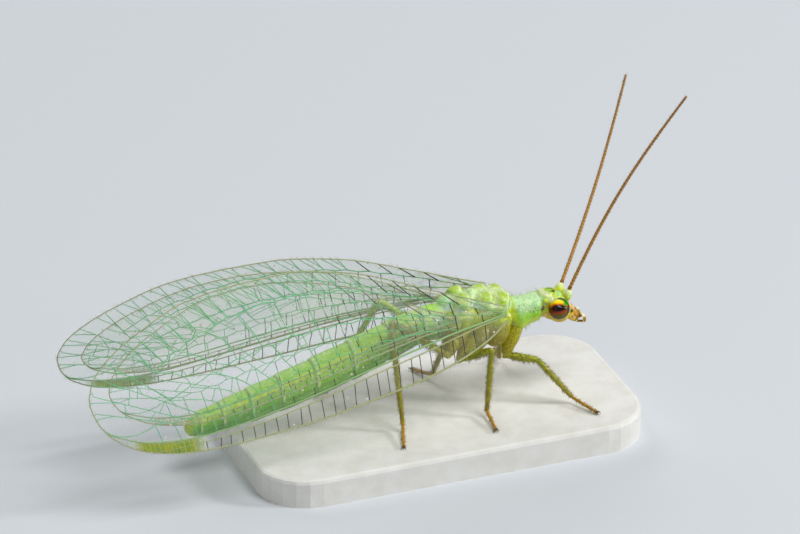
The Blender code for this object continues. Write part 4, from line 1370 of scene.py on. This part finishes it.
def antenna_finish():
    mat = new_material("ringed_tan_feeler", 0.5)
    links = mat.node_tree.links
    colour = tint_ramp(mat, ((0.0, tone(220, 236, 176)), (0.12, tone(208, 222, 96)),
                             (0.24, tone(198, 210, 24)), (0.5, tone(190, 136, 54)),
                             (0.7, tone(134, 84, 34)), (0.95, DARK_BROWN)))
    shade = map_range(mat, noise_node(mat, 14.0).outputs["Fac"], 0.3, 0.7, 0.8, 1.15)
    links.new(mix_colour(mat, 1.0, colour, shade, 'MULTIPLY'), shader_of(mat).inputs["Base Color"])
    add_bump(mat, noise_node(mat, 40.0, 2.0).outputs["Fac"], 0.004, 0.5)
    give_flesh(mat, 0.15, 0.05)
    return mat


def leg_finish():
    mat = new_material("olive_leg_cuticle", 0.42)
    links = mat.node_tree.links
    colour = tint_ramp(mat, ((0.0, tone(250, 236, 190)), (0.02, tone(250, 236, 190)),
                             (0.10, tone(168, 200, 14)), (0.35, tone(174, 174, 14)), (0.55, tone(168, 150, 8)),
                             (0.75, tone(206, 156, 10)), (0.95, tone(196, 134, 10)),
                             (1.0, tone(96, 54, 12))))
    mottle = map_range(mat, noise_node(mat, 22.0, 4.0, 0.6).outputs["Fac"], 0.45, 0.57, 0.0, 0.55)
    tint = add_node(mat, 'ShaderNodeAttribute', attribute_name="tint").outputs["Fac"]
    mottle = math_node(mat, 'MULTIPLY', mottle, map_range(mat, tint, 0.0, 0.1, 0.0, 1.0))
    colour = mix_colour(mat, mottle, colour, tone(74, 72, 6))
    links.new(colour, shader_of(mat).inputs["Base Color"])
    add_bump(mat, noise_node(mat, 30.0, 3.0).outputs["Fac"], 0.008, 0.6)
    give_flesh(mat, 0.40, 0.08)
    return mat


def film_finish():
    """Clear film, brighter at a glancing angle, with a painted pearly iridescent sheen near its root and green
    at the stigma.
    """
    mat = new_material("clear_wing_film", 0.10)
    links = mat.node_tree.links
    shader = shader_of(mat)
    stigma = add_node(mat, 'ShaderNodeAttribute', attribute_name="stigma").outputs["Fac"]
    root = add_node(mat, 'ShaderNodeAttribute', attribute_name="root").outputs["Fac"]
    # Painted reflection: pearly pink, blue and green iridescence near the wing root, put in as colour.
    painted_pearly_sheen = colour_ramp(mat, noise_node(mat, 2.6, 3.0, 0.6).outputs["Fac"],
                        ((0.32, tone(236, 206, 240)), (0.42, tone(200, 224, 250)),
                         (0.50, tone(246, 252, 236)), (0.58, tone(252, 230, 196)),
                         (0.68, tone(206, 240, 216))))
    plain = colour_ramp(mat, noise_node(mat, 0.7, 2.0).outputs["Fac"],
                        ((0.35, tone(226, 236, 236)), (0.65, tone(240, 246, 226))))
    colour = mix_colour(mat, root, plain, painted_pearly_sheen)
    grains = add_node(mat, 'ShaderNodeTexVoronoi', feature='F1')
    grains.inputs["Scale"].default_value = 5.0 / MM
    links.new(mat.node_tree.nodes["place"].outputs["Object"], grains.inputs["Vector"])
    grain = map_range(mat, grains.outputs["Distance"], 0.10, 0.17, 1.0, 0.0)
    parts = add_node(mat, 'ShaderNodeSeparateColor')
    links.new(grains.outputs["Color"], parts.inputs["Color"])
    chosen = map_range(mat, parts.outputs["Red"], 0.78, 0.82, 0.0, 1.0)
    grain = math_node(mat, 'MULTIPLY', grain, chosen)
    speck = colour_ramp(mat, parts.outputs["Green"],
                        ((0.6, tone(252, 252, 240)), (0.85, tone(244, 222, 180)), (0.98, tone(206, 186, 146))))
    colour = mix_colour(mat, grain, colour, speck)
    ripe = colour_ramp(mat, noise_node(mat, 3.0, 3.0).outputs["Fac"],
                       ((0.35, tone(112, 160, 8)), (0.65, tone(168, 184, 6))))
    colour = mix_colour(mat, stigma, colour, ripe)
    links.new(colour, shader.inputs["Base Color"])
    fresnel = add_node(mat, 'ShaderNodeLayerWeight')
    fresnel.inputs["Blend"].default_value = 0.22
    glance = map_range(mat, fresnel.outputs["Fresnel"], 0.0, 1.0, 0.034, 0.22)
    # Patches near the root where the painted pearly reflection shows more strongly.
    pearly_sheen_patches = map_range(mat, noise_node(mat, 3.4, 2.0).outputs["Fac"], 0.40, 0.62, 0.0, 0.20)
    total = math_node(mat, 'ADD', glance, math_node(mat, 'MULTIPLY', root, pearly_sheen_patches))
    total = math_node(mat, 'ADD', total, math_node(mat, 'MULTIPLY', grain, 0.6))
    total = math_node(mat, 'ADD', total, math_node(mat, 'MULTIPLY', stigma, 0.62))
    total = math_node(mat, 'MINIMUM', total, 1.0)
    links.new(total, shader.inputs["Alpha"])
    shader.inputs["Specular IOR Level"].default_value = 1.0
    shader.inputs["Thin Film Thickness"].default_value = 420.0
    shader.inputs["Thin Film IOR"].default_value = 1.5
    add_bump(mat, noise_node(mat, 2.2, 3.0).outputs["Fac"], 0.05, 0.5)
    return mat


def vein_finish():
    mat = new_material("sea_green_and_dark_veins", 0.4)
    links = mat.node_tree.links
    colour = tint_ramp(mat, ((0.0, tone(190, 196, 40)), (0.20, tone(164, 170, 92)),
                             (0.33, tone(170, 168, 128)), (0.50, tone(120, 182, 116)),
                             (0.66, SEA_GREEN), (0.80, tone(56, 110, 74)), (0.93, tone(42, 32, 24))))
    shade = map_range(mat, noise_node(mat, 4.0, 3.0).outputs["Fac"], 0.35, 0.65, 0.0, 0.45)
    colour = mix_colour(mat, shade, colour, tone(120, 196, 110), 'SOFT_LIGHT')
    links.new(colour, shader_of(mat).inputs["Base Color"])
    give_flesh(mat, 0.2, 0.04)
    return mat


def bristle_finish():
    mat = new_material("fine_pale_bristles", 0.5)
    colour = tint_ramp(mat, ((0.0, tone(206, 214, 160)), (0.5, tone(150, 140, 80)),
                             (1.0, tone(60, 46, 26))))
    mat.node_tree.links.new(colour, shader_of(mat).inputs["Base Color"])
    return mat


def plate_finish():
    mat = new_material("pale_matte_plate", 0.55)
    links = mat.node_tree.links
    grain = noise_node(mat, 1.6, 5.0, 0.6)
    colour = mix_colour(mat, map_range(mat, grain.outputs["Fac"], 0.35, 0.65, 0.0, 1.0),
                        tone(222, 220, 212), tone(232, 231, 226))
    links.new(colour, shader_of(mat).inputs["Base Color"])
    add_bump(mat, noise_node(mat, 12.0, 3.0).outputs["Fac"], 0.01, 0.4)
    return mat


# Studio

def make_floor():
    bm = bmesh.new()
    bmesh.ops.create_circle(bm, cap_ends=True, segments=64, radius=0.6)
    floor = new_object("studio_floor", bm)
    mat = new_material("pale_floor", 0.8, tone(206, 210, 214))
    floor.data.materials.append(mat)


def add_light(name, place, aim, size, power, colour=(1, 1, 1)):
    light = bpy.data.lights.new(name, 'AREA')
    light.shape = 'DISK'
    light.size = size
    light.energy = power
    light.color = colour
    obj = bpy.data.objects.new(name, light)
    obj.location = Vector(place)
    obj.rotation_euler = (Vector(aim) - Vector(place)).to_track_quat('-Z', 'Y').to_euler()
    bpy.context.scene.collection.objects.link(obj)


def make_studio():
    bpy.context.scene.view_settings.view_transform = 'Standard'
    bpy.context.scene.cycles.transparent_max_bounces = 32
    make_floor()
    aim = ORIGIN + Vector((-3, 0, 3)) * MM
    add_light("key", (0.07, -0.09, 0.26), aim, 0.12, 0.42)
    add_light("fill", (-0.22, -0.16, 0.12), aim, 0.20, 0.07)
    add_light("back", (-0.05, 0.24, 0.16), aim, 0.14, 0.22)
    add_light("front", aim + Vector((0.815, -0.393, 0.426)) * 0.25, aim, 0.04, 0.28)
    world = bpy.data.worlds.new("studio_air")
    world.use_nodes = True
    world.node_tree.nodes["Background"].inputs["Color"].default_value = (0.92, 0.95, 1.0, 1.0)
    world.node_tree.nodes["Background"].inputs["Strength"].default_value = 0.23
    bpy.context.scene.world = world


def make_camera():
    sin_a, cos_a = math.sin(CAMERA_AZIMUTH), math.cos(CAMERA_AZIMUTH)
    sin_e, cos_e = math.sin(CAMERA_ELEVATION), math.cos(CAMERA_ELEVATION)
    right = Vector((cos_a, -sin_a, 0))
    up = Vector((sin_a * sin_e, cos_a * sin_e, cos_e))
    back = Vector((-sin_a * cos_e, -cos_a * cos_e, sin_e))
    data = bpy.data.cameras.new("camera")
    data.sensor_width = SENSOR_WIDTH
    data.lens = SENSOR_WIDTH * CAMERA_DISTANCE / FRAME_WIDTH_THERE
    data.clip_start = 0.005
    data.clip_end = 5.0
    camera = bpy.data.objects.new("camera", data)
    turn = Matrix((right, up, back)).transposed().to_4x4()
    place = ORIGIN + (CAMERA_AIM + back * CAMERA_DISTANCE) * MM
    camera.matrix_world = Matrix.Translation(place) @ turn
    bpy.context.scene.collection.objects.link(camera)
    bpy.context.scene.camera = camera


def main():
    make_camera()
    make_studio()
    skin, legs, horn = skin_finish(), leg_finish(), antenna_finish()
    film, vein_paint, bristle = film_finish(), vein_finish(), bristle_finish()
    eye = eye_finish()

    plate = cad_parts["stand_base"]
    plate.data.materials.clear()
    plate.data.materials.append(plate_finish())

    finish_piece(wire_object("body_hairs", make_trunk(skin), 3), bristle, "cuticle")
    make_mouthparts(legs)
    for name, side in (("left", 1), ("right", -1)):
        make_eye("compound_eye_" + name, side, eye)
        hairs = make_antenna(name, horn)
        finish_piece(wire_object("antenna_" + name + "_hairs", hairs, 3), bristle, "antenna")
    for label in LEGS:
        hairs = make_leg(label, legs)
        finish_piece(wire_object("leg_" + label + "_hairs", hairs, 3), bristle, "leg")
    for pair_name, plan in (("fore", FOREWING), ("hind", HINDWING)):
        for side_name, side in (("left", 1), ("right", -1)):
            node = pair_name + "wing_" + side_name
            hairs = make_wing(pair_name, plan, side, film, vein_paint, node)
            finish_piece(wire_object(node + "_fringe", hairs, 3), bristle, "wing_vein")


main()
bpy.context.view_layer.update()
